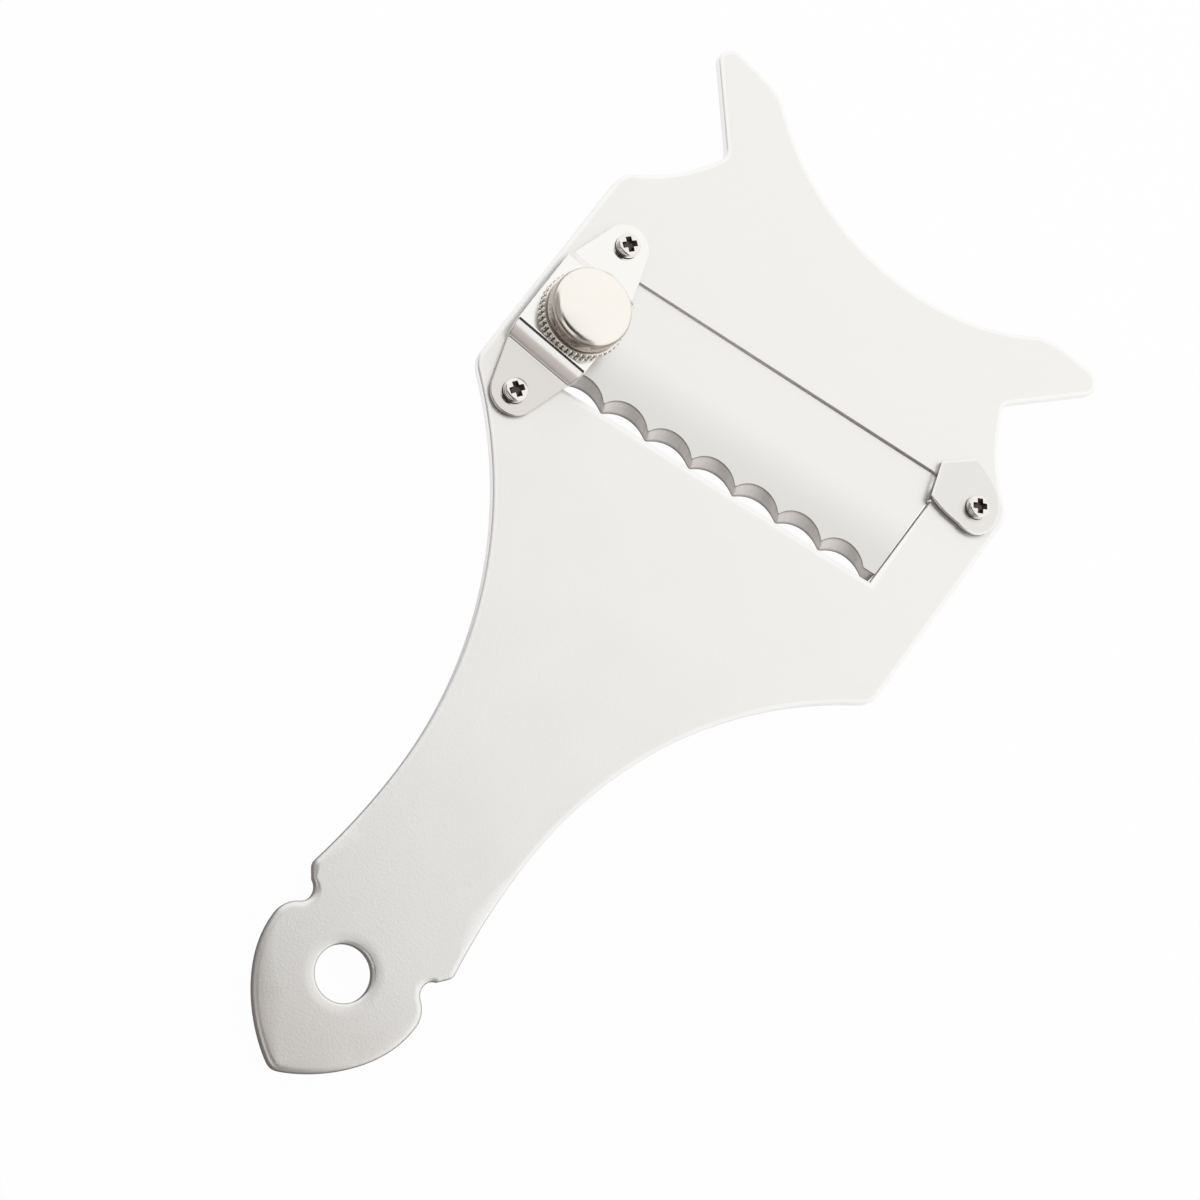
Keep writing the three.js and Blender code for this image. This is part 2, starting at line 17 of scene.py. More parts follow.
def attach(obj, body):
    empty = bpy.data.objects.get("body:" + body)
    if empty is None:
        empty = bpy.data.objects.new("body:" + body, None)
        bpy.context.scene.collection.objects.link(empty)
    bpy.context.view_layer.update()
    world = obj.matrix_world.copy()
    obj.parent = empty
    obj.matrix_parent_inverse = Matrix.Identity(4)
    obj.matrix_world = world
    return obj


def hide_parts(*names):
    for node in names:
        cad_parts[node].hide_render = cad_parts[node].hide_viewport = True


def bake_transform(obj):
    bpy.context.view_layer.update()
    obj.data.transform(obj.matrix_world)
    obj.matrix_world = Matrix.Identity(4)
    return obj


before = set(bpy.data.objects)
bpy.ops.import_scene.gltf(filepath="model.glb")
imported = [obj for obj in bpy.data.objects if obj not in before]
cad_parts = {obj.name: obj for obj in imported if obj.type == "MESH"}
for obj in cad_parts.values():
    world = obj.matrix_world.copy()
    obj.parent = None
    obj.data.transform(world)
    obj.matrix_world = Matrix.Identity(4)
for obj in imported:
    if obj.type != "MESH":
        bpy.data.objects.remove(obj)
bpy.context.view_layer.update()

LOG = logging.getLogger("slicer")
MM = 0.001
TINY = 1e-6
PLATE_TOP = 2.0
HOLE_ROLL = 0.1
SCREW_HOLE = 1.4
STEM_HOLE = 2.4
CREASE_DEGREES = 35

Plan = np.ndarray
Profile = list[tuple[float, float]]
Colour = tuple[float, float, float]
RollRule = Callable[[int, Plan], np.ndarray]
CrownRule = Callable[[int, Plan], tuple[np.ndarray, np.ndarray]]


class Body(Enum):
    """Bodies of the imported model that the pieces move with."""

    ROOT = "root"
    KNOB = "knob"
    BLADE = "blade"


class Slot(Enum):
    """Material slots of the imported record."""

    SATIN = "satin_steel"
    POLISHED = "polished_steel"
    NICKEL = "nickel"


# Plan drawing


def vec(x: float, y: float) -> Plan:
    """A place in plan, in millimetres."""
    return np.array([x, y], float)


def spot(x: float, y: float) -> Plan:
    """A dataclass field that holds a place in plan."""
    return field(default_factory=lambda: vec(x, y))


def unit(v: Plan) -> Plan:
    """The same direction with length one."""
    return v / np.linalg.norm(v)


def turned(angle: float) -> np.ndarray:
    """The matrix that turns places in plan by an angle in radians."""
    return np.array([[math.cos(angle), -math.sin(angle)], [math.sin(angle), math.cos(angle)]])


class Trace:
    """A plan line that grows curve by curve, in millimetres."""

    def __init__(self, start: Plan, steps: int) -> None:
        """Begins the line.

        Args:
            start: First place.
            steps: Pieces that each curve is cut into.
        """
        self.points: list[Plan] = [np.array(start, float)]
        self.steps = steps

    def line(self, end: Plan) -> None:
        """Adds a straight line to the given place."""
        if np.linalg.norm(self.points[-1] - end) > TINY:
            self.points.append(np.array(end, float))

    def cubic(self, pull_a: Plan, pull_b: Plan, end: Plan) -> None:
        """Adds a curve with two pulls.

        Args:
            pull_a: Place that the curve leaves towards.
            pull_b: Place that it arrives from.
            end: Where it ends.
        """
        a = self.points[-1]
        for t in np.linspace(0, 1, self.steps + 1)[1:]:
            u = 1 - t
            self.line(u**3 * a + 3 * u * u * t * pull_a + 3 * u * t * t * pull_b + t**3 * end)

    def quad(self, pull: Plan, end: Plan) -> None:
        """Adds a curve with one pull."""
        a = self.points[-1]
        self.cubic(a + (pull - a) * 2 / 3, end + (pull - end) * 2 / 3, end)

    def arc(self, centre: Plan, radius: float, start: float, end: float) -> None:
        """Adds an arc from one angle to another, in radians, turning the way the angle runs."""
        for angle in np.linspace(start, end, self.steps + 1):
            self.line(centre + radius * vec(math.cos(angle), math.sin(angle)))

    def corner(self, corner: Plan, after: Plan, rounding: float) -> None:
        """Adds a line up to a rounded corner.

        Args:
            corner: The corner before rounding.
            after: Place that the line turns to.
            rounding: Length taken off both sides.
        """
        self.line(corner + unit(self.points[-1] - corner) * rounding)
        self.quad(corner, corner + unit(after - corner) * rounding)

    def loop(self) -> Plan:
        """The places as one closed loop, without a double at its end."""
        points = np.array(self.points)
        if np.linalg.norm(points[0] - points[-1]) < TINY:
            points = points[:-1]
        return points


def hole_loop(centre: Plan, radius: float, sides: int = 64) -> Plan:
    """A round hole, drawn clockwise so that metal lies at its left."""
    angles = -np.linspace(0, 2 * math.pi, sides, endpoint=False)
    return centre + radius * np.stack([np.cos(angles), np.sin(angles)], axis=1)


def screw_hole(place: Plan) -> Plan:
    """Clearance hole for one of the small screws."""
    return hole_loop(place, SCREW_HOLE, 32)


def stem_hole(place: Plan) -> Plan:
    """Clearance hole for the knob's stem."""
    return hole_loop(place, STEM_HOLE, 48)


def even_roll(outer: float, holes: float) -> RollRule:
    """Rule for a roll that stays the same all round the outer edge, and another round every hole."""

    def rule(k: int, plan: Plan) -> np.ndarray:
        """Roll at each place of one outline."""
        return np.full(len(plan), holes if k else outer)

    return rule


# Mesh helpers


def new_object(name: str, mesh: bpy.types.Mesh) -> bpy.types.Object:
    """Puts a mesh into the scene as an object at the origin."""
    obj = bpy.data.objects.new(name, mesh)
    bpy.context.scene.collection.objects.link(obj)
    return obj


def mesh_from(name: str, points: np.ndarray, faces: Sequence[Sequence[int]]) -> bpy.types.Mesh:
    """Makes a smooth-shaded mesh.

    Args:
        name: Name of the mesh.
        points: Places in millimetres.
        faces: Corners of each face.

    Returns:
        The mesh, in metres.
    """
    mesh = bpy.data.meshes.new(name)
    mesh.from_pydata((points * MM).tolist(), [], [list(f) for f in faces])
    mesh.polygons.foreach_set("use_smooth", [True] * len(mesh.polygons))
    mesh.update()
    return mesh


def crease(mesh: bpy.types.Mesh, degrees: float) -> None:
    """Marks every edge that turns more than the given angle as sharp."""
    work = bmesh.new()
    work.from_mesh(mesh)
    for edge in work.edges:
        if len(edge.link_faces) == 2 and edge.calc_face_angle(0.0) > math.radians(degrees):
            edge.smooth = False
    work.to_mesh(mesh)
    work.free()


def lathe(name: str, profile: Sequence[tuple[float, float]], centre: Plan, sides: int) -> bpy.types.Mesh:
    """Turns a side profile round an upright axis.

    Args:
        name: Name of the mesh.
        profile: (radius, height) pairs in millimetres, from axis to axis or closed on itself.
        centre: The axis in plan.
        sides: Faces round the axis.

    Returns:
        A closed mesh with outward faces.
    """
    work = bmesh.new()
    rings: list[list[bmesh.types.BMVert]] = []
    angles = np.linspace(0, 2 * math.pi, sides, endpoint=False)
    for radius, height in profile:
        if radius < TINY:
            rings.append([work.verts.new((centre[0] * MM, centre[1] * MM, height * MM))])
            continue
        rings.append([
            work.verts.new((
                (centre[0] + radius * math.cos(a)) * MM,
                (centre[1] + radius * math.sin(a)) * MM,
                height * MM,
            ))
            for a in angles
        ])
    closed = np.allclose(profile[0], profile[-1])
    if closed:
        for vert in rings.pop():
            work.verts.remove(vert)
    pairs = list(zip(rings, rings[1:] + rings[:1])) if closed else list(zip(rings, rings[1:]))
    for low, high in pairs:
        for i in range(sides):
            j = (i + 1) % sides
            corners = [low[i % len(low)], low[j % len(low)], high[j % len(high)], high[i % len(high)]]
            work.faces.new(list(dict.fromkeys(corners)))
    bmesh.ops.recalc_face_normals(work, faces=work.faces[:])
    mesh = bpy.data.meshes.new(name)
    work.to_mesh(mesh)
    work.free()
    mesh.polygons.foreach_set("use_smooth", [True] * len(mesh.polygons))
    crease(mesh, CREASE_DEGREES)
    return mesh


def domed(radius: float, rim: float, rounding: float, crown: float, steps: tuple[int, int]) -> Profile:
    """Side profile of a rounded edge and the low crown inside it.

    Args:
        radius: Radius of the wall below the edge.
        rim: Height of the edge, where its rounding would turn level.
        rounding: Radius of the rounding.
        crown: Rise of the crown above the rim.
        steps: Pieces of the rounding and of the crown.

    Returns:
        (radius, height) pairs, from the top of the wall to the axis.
    """
    out = []
    for a in np.linspace(0, math.radians(80), steps[0] + 1)[1:]:
        out.append((radius - rounding * (1 - math.cos(a)), rim - rounding * (1 - math.sin(a))))
    edge, foot = out[-1]
    for share in np.linspace(1, 0, steps[1] + 1)[1:]:
        out.append((edge * share, foot + (rim + crown - foot) * (1 - share**2)))
    return out


def mark_points(mesh: bpy.types.Mesh, name: str, values: Sequence[float]) -> None:
    """Writes a value for each point of a mesh."""
    mesh.attributes.new(name, "FLOAT", "POINT").data.foreach_set("value", np.asarray(values, np.float32))


def mark_faces(mesh: bpy.types.Mesh, name: str, values: Sequence[bool]) -> None:
    """Writes a yes or no for each face of a mesh."""
    mesh.attributes.new(name, "BOOLEAN", "FACE").data.foreach_set("value", values)


def settle(obj: bpy.types.Object) -> None:
    """Turns an object's modifiers into a plain mesh."""
    graph = bpy.context.evaluated_depsgraph_get()
    mesh = bpy.data.meshes.new_from_object(obj.evaluated_get(graph), depsgraph=graph)
    old = obj.data
    obj.modifiers.clear()
    obj.data = mesh
    bpy.data.meshes.remove(old)


def joined(parts: Sequence[bpy.types.Object]) -> bpy.types.Object:
    """Makes one object of several, under the first one's name."""
    with bpy.context.temp_override(active_object=parts[0], selected_editable_objects=list(parts)):
        bpy.ops.object.join()
    return parts[0]


@dataclass
class Bend:
    """Rise of a sheet along one direction in plan, from a table of stations."""

    origin: Plan
    direction: Plan
    stations: np.ndarray
    heights: np.ndarray
    slopes: np.ndarray

    def along(self, plan: Plan) -> np.ndarray:
        """Distance of each place along the bend's direction."""
        return (plan - self.origin) @ self.direction

    def place(self, plan: Plan, height: np.ndarray) -> np.ndarray:
        """Lifts a flat sheet.

        Args:
            plan: Places in plan.
            height: Height of each above the sheet's back.

        Returns:
            Places in space, set off along the bent sheet's own normal.
        """
        s = self.along(plan)
        lift = np.interp(s, self.stations, self.heights)
        slope = np.interp(s, self.stations, self.slopes)
        length = np.sqrt(1 + slope**2)
        shift = -(slope / length * height)[:, None] * self.direction
        return np.column_stack([plan + shift, lift + height / length])


@dataclass
class Sheet:
    """A stamped sheet drawn in plan: outer loop anticlockwise, holes clockwise, metal at the left of each."""

    name: str
    loops: list[Plan]
    thickness: float
    front_roll: RollRule
    back_roll: float
    front_loops: Optional[list[Plan]] = None
    base: float = 0.0
    bend: Optional[Bend] = None
    roll_steps: int = 7
    flare: float = 1.0
    crown: Optional[CrownRule] = None
    crown_steps: int = 4
    # share of painted highlight on each front edge
    highlight_share: Optional[RollRule] = None
    spin: float = 0.0
    shift: Plan = spot(0, 0)
    wall_steps: int = 1
    wall_finish: Sequence[int] = ()
    rim: Optional[RollRule] = None
    rim_finish: int = 0
    ground_rule: Optional[Callable[[Plan], np.ndarray]] = None

    MITRE_LIMIT: ClassVar[float] = 0.35
    FOLD_LIMIT: ClassVar[float] = 0.12
    TAME_ROUNDS: ClassVar[int] = 80
    TAME_SHARES: ClassVar[tuple[float, float]] = (0.92, 0.3)
    LEAST_FALL: ClassVar[float] = 0.05
    KEEN_ROLL: ClassVar[float] = 0.03

    def split(self) -> list[list[int]]:
        """Adds places to the loops where they cross the bend's stations.

        Returns:
            For each station, the numbers of the places on it.
        """
        fronts = self.front_loops or self.loops
        stations = self.bend.stations if self.bend else []
        found: list[list[int]] = [[] for _ in stations]
        backs_out, fronts_out, count = [], [], 0
        for back, front in zip(self.loops, fronts):
            new_back, new_front = [], []
            for i in range(len(back)):
                j = (i + 1) % len(back)
                new_back.append(back[i])
                new_front.append(front[i])
                if not self.bend:
                    continue
                a, b = self.bend.along(back[[i, j]])
                cuts = [((c - a) / (b - a), k) for k, c in enumerate(stations) if (a - c) * (b - c) < -1e-9]
                for t, k in sorted(cuts):
                    found[k].append(count + len(new_back))
                    new_back.append(back[i] + (back[j] - back[i]) * t)
                    new_front.append(front[i] + (front[j] - front[i]) * t)
            count += len(new_back)
            backs_out.append(np.array(new_back))
            fronts_out.append(np.array(new_front))
        self.loops, self.front_loops = backs_out, fronts_out
        return found

    @staticmethod
    def mitres(loop: Plan) -> Plan:
        """Direction from each place into the metal, as long as a unit offset of both sides needs."""
        ahead = np.roll(loop, -1, axis=0) - loop
        ahead /= np.linalg.norm(ahead, axis=1)[:, None]
        left = np.stack([-ahead[:, 1], ahead[:, 0]], axis=1)
        before = np.roll(left, 1, axis=0)
        spread = 1 + np.sum(left * before, axis=1)
        return (left + before) / np.maximum(spread, Sheet.MITRE_LIMIT)[:, None]

    @staticmethod
    def tamed(loop: Plan, roll: np.ndarray) -> np.ndarray:
        """Narrows a roll where the outline turns too tightly for it.

        Args:
            loop: The outline.
            roll: Wanted roll at each place.

        Returns:
            Roll that doesn't fold over itself.
        """
        ahead = np.roll(loop, -1, axis=0) - loop
        length = np.linalg.norm(ahead, axis=1)
        around = np.cumsum(length) - length
        inward = Sheet.mitres(loop)
        soft = roll.copy()
        narrowed, nearby = Sheet.TAME_SHARES
        for _ in range(Sheet.TAME_ROUNDS):
            moved = loop + soft[:, None] * inward
            side = np.roll(moved, -1, axis=0) - moved
            folded = np.nonzero(np.sum(side * ahead, axis=1) < Sheet.FOLD_LIMIT * length**2)[0]
            if not len(folded):
                break
            for i in folded:
                gap = np.abs(around - around[i])
                gap = np.minimum(gap, length.sum() - gap)
                soft = np.minimum(soft, soft[i] * narrowed + gap * nearby)
        return soft

    def crowned(self, rolls: list[np.ndarray]) -> tuple[np.ndarray, np.ndarray, np.ndarray]:
        """Shape of a front that falls gently towards its edges.

        Args:
            rolls: Roll of each loop.

        Returns:
            For each place of the edge: how far the front has fallen, the width of the fall and its slope.
        """
        if not self.crown:
            none = np.zeros(sum(len(roll) for roll in rolls))
            return none, none, none
        falls, slopes = [], []
        for k, loop in enumerate(self.front_loops):
            width, slope = self.crown(k, loop)
            inset = rolls[k] * self.flare
            falls.append(np.maximum(self.tamed(loop, inset + width) - inset, self.LEAST_FALL))
            slopes.append(slope)
        fall, slope = np.concatenate(falls), np.concatenate(slopes)
        return fall * slope / 2, fall, slope

    @staticmethod
    def inside(loops: list[Plan], place: Plan) -> bool:
        """Whether a place lies on the metal between the loops."""
        crossings = 0
        for a in loops:
            b = np.roll(a, -1, axis=0)
            spans = (a[:, 1] > place[1]) != (b[:, 1] > place[1])
            low, high = a[spans], b[spans]
            share = (place[1] - low[:, 1]) / (high[:, 1] - low[:, 1])
            at = low[:, 0] + share * (high[:, 0] - low[:, 0])
            crossings += int((at > place[0]).sum())
        return crossings % 2 == 1

    def fill(self, loops: list[Plan], links: list[tuple[int, int]]) -> list[tuple[int, ...]]:
        """Fills the area between the loops with triangles, anticlockwise."""
        points = np.concatenate(loops)
        edges, start = list(links), 0
        for loop in loops:
            n = len(loop)
            edges += [(start + i, start + (i + 1) % n) for i in range(n)]
            start += n
        result = delaunay_2d_cdt([Vector(p) for p in points], edges, [], 0, 1e-7, True)
        names = [ids[0] for ids in result[3]]
        corners = [[names[i] for i in face] for face in result[2]]
        return [tuple(face) for face in corners if self.inside(loops, points[face].mean(axis=0))]

    def rings(self, rolls: list[np.ndarray]) -> tuple[list[tuple[Plan, np.ndarray]], range]:
        """Lines of the skin, from the rim of the flat back to the rim of the flat front.

        Args:
            rolls: Roll of each loop's front edge.

        Returns:
            Plan and height of each line, and the numbers of the lines on the front roll.
        """
        fronts = self.front_loops
        back, front = np.concatenate(self.loops), np.concatenate(fronts)
        sides = (self.loops, fronts)
        into_back, into_front = (np.concatenate([self.mitres(loop) for loop in side]) for side in sides)
        roll = np.concatenate(rolls)
        wide = roll * self.flare
        low = np.minimum(self.back_roll, roll)
        quarter = np.linspace(0, math.pi / 2, self.roll_steps + 1)
        out: list[tuple[Plan, np.ndarray]] = []
        for a in quarter:
            out.append((back + (low * (1 - math.sin(a)))[:, None] * into_back, low * (1 - math.cos(a))))
        drop, fall, slope = self.crowned(rolls)
        top = self.thickness - drop
        high = top - roll
        for share in np.linspace(0, 1, self.wall_steps + 1)[1:-1]:
            out.append((back + (front - back) * share, low + (high - low) * share))
        for a in np.outer(quarter, 1 - np.arctan(slope) / (math.pi / 2)):
            out.append((front + (wide * (1 - np.cos(a)))[:, None] * into_front, top - roll * (1 - np.sin(a))))
        rims = range(len(out) - self.roll_steps - 1, len(out))
        if self.crown:
            for share in np.linspace(0, 1, self.crown_steps + 1)[1:]:
                inset = wide + fall * share
                out.append((front + inset[:, None] * into_front, top + drop * (1 - (1 - share) ** 2)))
        if self.rim:
            wants = [rolls[k] * self.flare + self.rim(k, loop) for k, loop in enumerate(fronts)]
            lines = [self.tamed(loop, want) for loop, want in zip(fronts, wants)]
            inset = np.maximum(np.concatenate(lines), wide)
            out.append((front + inset[:, None] * into_front, np.full(len(roll), self.thickness)))
        return out, rims

    def walls(self, rings: int, rims: range) -> tuple[list[tuple[int, ...]], list[int]]:
        """Faces between the lines of the skin.

        Args:
            rings: How many lines the skin has.
            rims: Numbers of the lines on the front roll.

        Returns:
            The faces and the material index of each.
        """
        back = np.concatenate(self.loops)
        count = len(back)
        ground = self.ground_rule(back) if self.ground_rule else np.zeros(count, bool)
        wall = range(self.roll_steps, self.roll_steps + self.wall_steps)
        faces, finish = [], []
        for r in range(rings - 1):
            start = 0
            for k, loop in enumerate(self.loops):
                n = len(loop)
                side = self.wall_finish[k] if k < len(self.wall_finish) else 0
                for i in range(n):
                    a, b = r * count + start + i, r * count + start + (i + 1) % n
                    faces.append((a, b, b + count, a + count))
                    if r in wall:
                        finish.append(1 if ground[a % count] and ground[b % count] else side)
                    else:
                        finish.append(self.rim_finish if r in rims else 0)
                start += n
        return faces, finish

    def caps(self, rings: list[tuple[Plan, np.ndarray]], stations: list[list[int]]) -> list[tuple[int, ...]]:
        """Faces of the flat back and the flat front, cut along the bend's stations."""
        back = np.concatenate(self.loops)
        links = []
        for members in stations:
            across = vec(-self.bend.direction[1], self.bend.direction[0])
            members.sort(key=lambda m: float(back[m] @ across))
            links += list(zip(members[0::2], members[1::2]))
        cuts = np.cumsum([len(loop) for loop in self.loops])[:-1]
        faces = []
        for r in (0, len(rings) - 1):
            for a, b, c in self.fill(np.split(rings[r][0], cuts), links):
                corners = (a, b, c) if r else (a, c, b)
                faces.append(tuple(r * len(back) + v for v in corners))
        return faces

    def mark(self, mesh: bpy.types.Mesh, rings: int, rims: range) -> None:
        """Writes "rise", from 0 to 1 up the wall, and the share of painted highlight, from 0 on the front to
        1 at its roll.
        """
        count = sum(len(loop) for loop in self.loops)
        rise = np.clip((np.arange(rings) - self.roll_steps) / self.wall_steps, 0, 1)
        highlight_band = np.zeros(rings)
        if self.crown:
            highlight_band[rims.start:rims.stop] = 1.0
            highlight_band[rims.stop:] = np.linspace(1, 0, rings - rims.stop + 1)[1:]
        else:
            highlight_band[rims.start:rims.stop] = np.linspace(1, 0, len(rims))
        highlight_share = np.ones(count)
        if self.highlight_share:
            highlight_share = np.concatenate([self.highlight_share(k, loop) for k, loop in enumerate(self.front_loops)])
        mark_points(mesh, "rise", np.repeat(rise, count))
        mark_points(mesh, "highlight_band", np.outer(highlight_band, highlight_share).ravel())

    def build(self) -> bpy.types.Object:
        """Makes the sheet.

        Returns:
            The object, with material index 1 on the faces that the ground rule names, the walls' own indices
            on the other walls and the rim's index on the front roll.
        """
        stations = self.split()
        rolls = []
        for k, loop in enumerate(self.front_loops):
            rolls.append(self.tamed(loop, self.front_roll(k, loop) * self.flare) / self.flare)
        rings, rims = self.rings(rolls)
        if self.bend:
            cells = [self.bend.place(plan, height) for plan, height in rings]
        else:
            cells = [np.column_stack([plan, height + self.base]) for plan, height in rings]
        points = np.concatenate(cells)
        points[:, :2] = points[:, :2] @ turned(self.spin).T + self.shift
        faces, finish = self.walls(len(rings), rims)
        mesh = mesh_from(self.name, points, faces + self.caps(rings, stations))
        self.sharpen(mesh, np.concatenate(rolls), len(rings))
        index = np.zeros(len(mesh.polygons), np.int32)
        index[:len(finish)] = finish
        mesh.polygons.foreach_set("material_index", index)
        self.mark(mesh, len(rings), rims)
        return new_object(self.name, mesh)

    def sharpen(self, mesh: bpy.types.Mesh, roll: np.ndarray, rings: int) -> None:
        """Marks the rims of both flat faces, and the whole edge where it has no roll, as sharp."""
        count = len(roll)
        wall = (self.roll_steps, self.roll_steps + self.wall_steps)
        for edge in mesh.edges:
            a, b = edge.vertices
            ring = a // count
            if ring != b // count:
                continue
            flat_rim = ring in (0, rings - 1) and not (self.bend and self.inner(a % count, b % count))
            keen = ring in wall and roll[a % count] < self.KEEN_ROLL
            if flat_rim or keen:
                edge.use_edge_sharp = True

    def inner(self, a: int, b: int) -> bool:
        """Whether two places are not neighbours on an outline, so that their edge crosses the sheet."""
        start = 0
        for loop in self.loops:
            n = len(loop)
            if start <= a < start + n and start <= b < start + n:
                return abs(a - b) not in (1, n - 1)
            start += n
        return True


# Node trees


class Nodes:
    """A node tree in the making."""

    def __init__(self, group: bpy.types.NodeTree) -> None:
        """Takes up a tree."""
        self.group = group

    def node(self, kind: str, inputs: Optional[dict] = None, **settings: object) -> bpy.types.Node:
        """Adds a node.

        Args:
            kind: Node type.
            inputs: Input name or number to a socket, which is linked, or to a plain value, which is set.
            settings: Properties of the node.

        Returns:
            The node.
        """
        made = self.group.nodes.new(kind)
        for key, value in settings.items():
            setattr(made, key, value)
        for key, value in (inputs or {}).items():
            if isinstance(value, bpy.types.NodeSocket):
                self.link(value, made.inputs[key])
            else:
                made.inputs[key].default_value = value
        return made

    def link(self, source: bpy.types.NodeSocket, target: bpy.types.NodeSocket) -> None:
        """Links one socket to another."""
        self.group.links.new(source, target)

    def math(self, operation: str, a: object, b: object = 0.0) -> bpy.types.NodeSocket:
        """The result of one sum on two values."""
        return self.node("ShaderNodeMath", {0: a, 1: b}, operation=operation).outputs[0]

    def vector(self, operation: str, inputs: dict) -> bpy.types.Node:
        """A node for one sum on vectors."""
        return self.node("ShaderNodeVectorMath", inputs, operation=operation)

    def mixed(self, factor: object, a: object, b: object) -> bpy.types.NodeSocket:
        """A colour between two others."""
        mix = self.node("ShaderNodeMix", {"Factor": factor, "A": a, "B": b}, data_type="RGBA")
        return mix.outputs["Result"]

    def ranged(self, value: object, spans: Sequence[float], smooth: bool = False) -> bpy.types.NodeSocket:
        """A value mapped from its own span to another, each a lowest and a highest value."""
        inputs = dict(zip(("From Min", "From Max", "To Min", "To Max"), spans))
        kind = "SMOOTHSTEP" if smooth else "LINEAR"
        made = self.node("ShaderNodeMapRange", {"Value": value, **inputs}, interpolation_type=kind)
        return made.outputs["Result"]

    def place(self) -> bpy.types.NodeSocket:
        """Place on the object, for shaders."""
        return self.node("ShaderNodeTexCoord").outputs["Object"]


class Tree(Nodes):
    """A Geometry Nodes tree in the making, with one geometry in and one out."""

    def __init__(self, name: str) -> None:
        """Opens the tree with its first sockets."""
        super().__init__(bpy.data.node_groups.new(name, "GeometryNodeTree"))
        for side in ("OUTPUT", "INPUT"):
            self.group.interface.new_socket("Geometry", in_out=side, socket_type="NodeSocketGeometry")
        self.values: dict[str, object] = {}
        self.source = self.node("NodeGroupInput")
        self.target = self.node("NodeGroupOutput")

    def given(self, name: str, kind: str, value: object) -> bpy.types.NodeSocket:
        """Adds a named input.

        Args:
            name: Name of the input.
            kind: Socket type.
            value: What the modifier sets it to.

        Returns:
            The socket inside the tree.
        """
        item = self.group.interface.new_socket(name, in_out="INPUT", socket_type=kind)
        self.values[item.identifier] = value
        return self.source.outputs[name]

    def lifted(self, geometry: bpy.types.NodeSocket, height: object) -> bpy.types.NodeSocket:
        """Raises a geometry by a height."""
        lift = self.node("ShaderNodeCombineXYZ", {"Z": height}).outputs[0]
        return self.node("GeometryNodeTransform", {"Geometry": geometry, "Translation": lift}).outputs[0]

    def close(
        self, geometry: bpy.types.NodeSocket, finishes: Sequence[tuple["Finish", Optional[str]]],
    ) -> None:
        """Ends the tree in Realize Instances and Set Material.

        Args:
            geometry: What the tree has made.
            finishes: Finishes, each with the face attribute that picks its faces, or None for all.
        """
        last = self.node("GeometryNodeRealizeInstances", {"Geometry": geometry}).outputs[0]
        for finish, attribute in finishes:
            inputs: dict[str, object] = {"Geometry": last, "Material": finish.material()}
            if attribute:
                named = self.node("GeometryNodeInputNamedAttribute", {"Name": attribute}, data_type="BOOLEAN")
                inputs["Selection"] = named.outputs["Attribute"]
            last = self.node("GeometryNodeSetMaterial", inputs).outputs[0]
        self.link(last, self.target.inputs[0])

    def run(self, obj: bpy.types.Object) -> None:
        """Runs the tree on an object and keeps the result as a plain mesh."""
        modifier = obj.modifiers.new(self.group.name, "NODES")
        modifier.node_group = self.group
        for identifier, value in self.values.items():
            modifier[identifier] = value
        settle(obj)


# Finishes


class Shading:
    """Shader node groups that several finishes share."""

    @staticmethod
    def opened(name: str, inputs: dict[str, float], outputs: Sequence[str]) -> tuple[Nodes, dict, dict]:
        """Starts a group with named value sockets.

        Args:
            name: Name of the group.
            inputs: Input names and their usual values.
            outputs: Output names.

        Returns:
            The group, its given values and its results, by name.
        """
        nodes = Nodes(bpy.data.node_groups.new(name, "ShaderNodeTree"))
        sockets = nodes.group.interface
        for key, value in inputs.items():
            sockets.new_socket(key, in_out="INPUT", socket_type="NodeSocketFloat").default_value = value
        for key in outputs:
            sockets.new_socket(key, in_out="OUTPUT", socket_type="NodeSocketFloat")
        return nodes, nodes.node("NodeGroupInput").outputs, nodes.node("NodeGroupOutput").inputs

    @staticmethod
    @cache
    def grain() -> bpy.types.NodeTree:
        """Blasted grain: a fine height field and a broad mottle."""
        scales = {"Grain": 5000.0, "Pits": 1800.0, "Mottle": 60.0}
        nodes, given, result = Shading.opened("blasted_grain", scales, ["Height", "Mottle"])
        place, noise = nodes.place(), {}
        for key, detail in (("Grain", 2.0), ("Pits", 1.0), ("Mottle", 3.0)):
            made = nodes.node("ShaderNodeTexNoise", {"Detail": detail, "Vector": place, "Scale": given[key]})
            noise[key] = made.outputs["Fac"]
        nodes.link(nodes.math("ADD", noise["Grain"], noise["Pits"]), result["Height"])
        nodes.link(noise["Mottle"], result["Mottle"])
        return nodes.group

    @staticmethod
    @cache
    def lines() -> bpy.types.NodeTree:
        """Fine lines drawn along one direction."""
        scales = {"Turn": 0.0, "Across": 9000.0, "Along": 500.0}
        nodes, given, result = Shading.opened("drawn_lines", scales, ["Lines"])
        turn = {"Vector": nodes.place(), "Angle": given["Turn"]}
        along = nodes.node("ShaderNodeVectorRotate", turn, rotation_type="Z_AXIS").outputs[0]
        spans = {"X": given["Across"], "Y": given["Along"], "Z": given["Along"]}
        scaled = nodes.vector("MULTIPLY", {0: along, 1: nodes.node("ShaderNodeCombineXYZ", spans).outputs[0]})
        noise = nodes.node("ShaderNodeTexNoise", {"Scale": 1.0, "Detail": 2.0, "Vector": scaled.outputs[0]})
        nodes.link(noise.outputs["Fac"], result["Lines"])
        return nodes.group


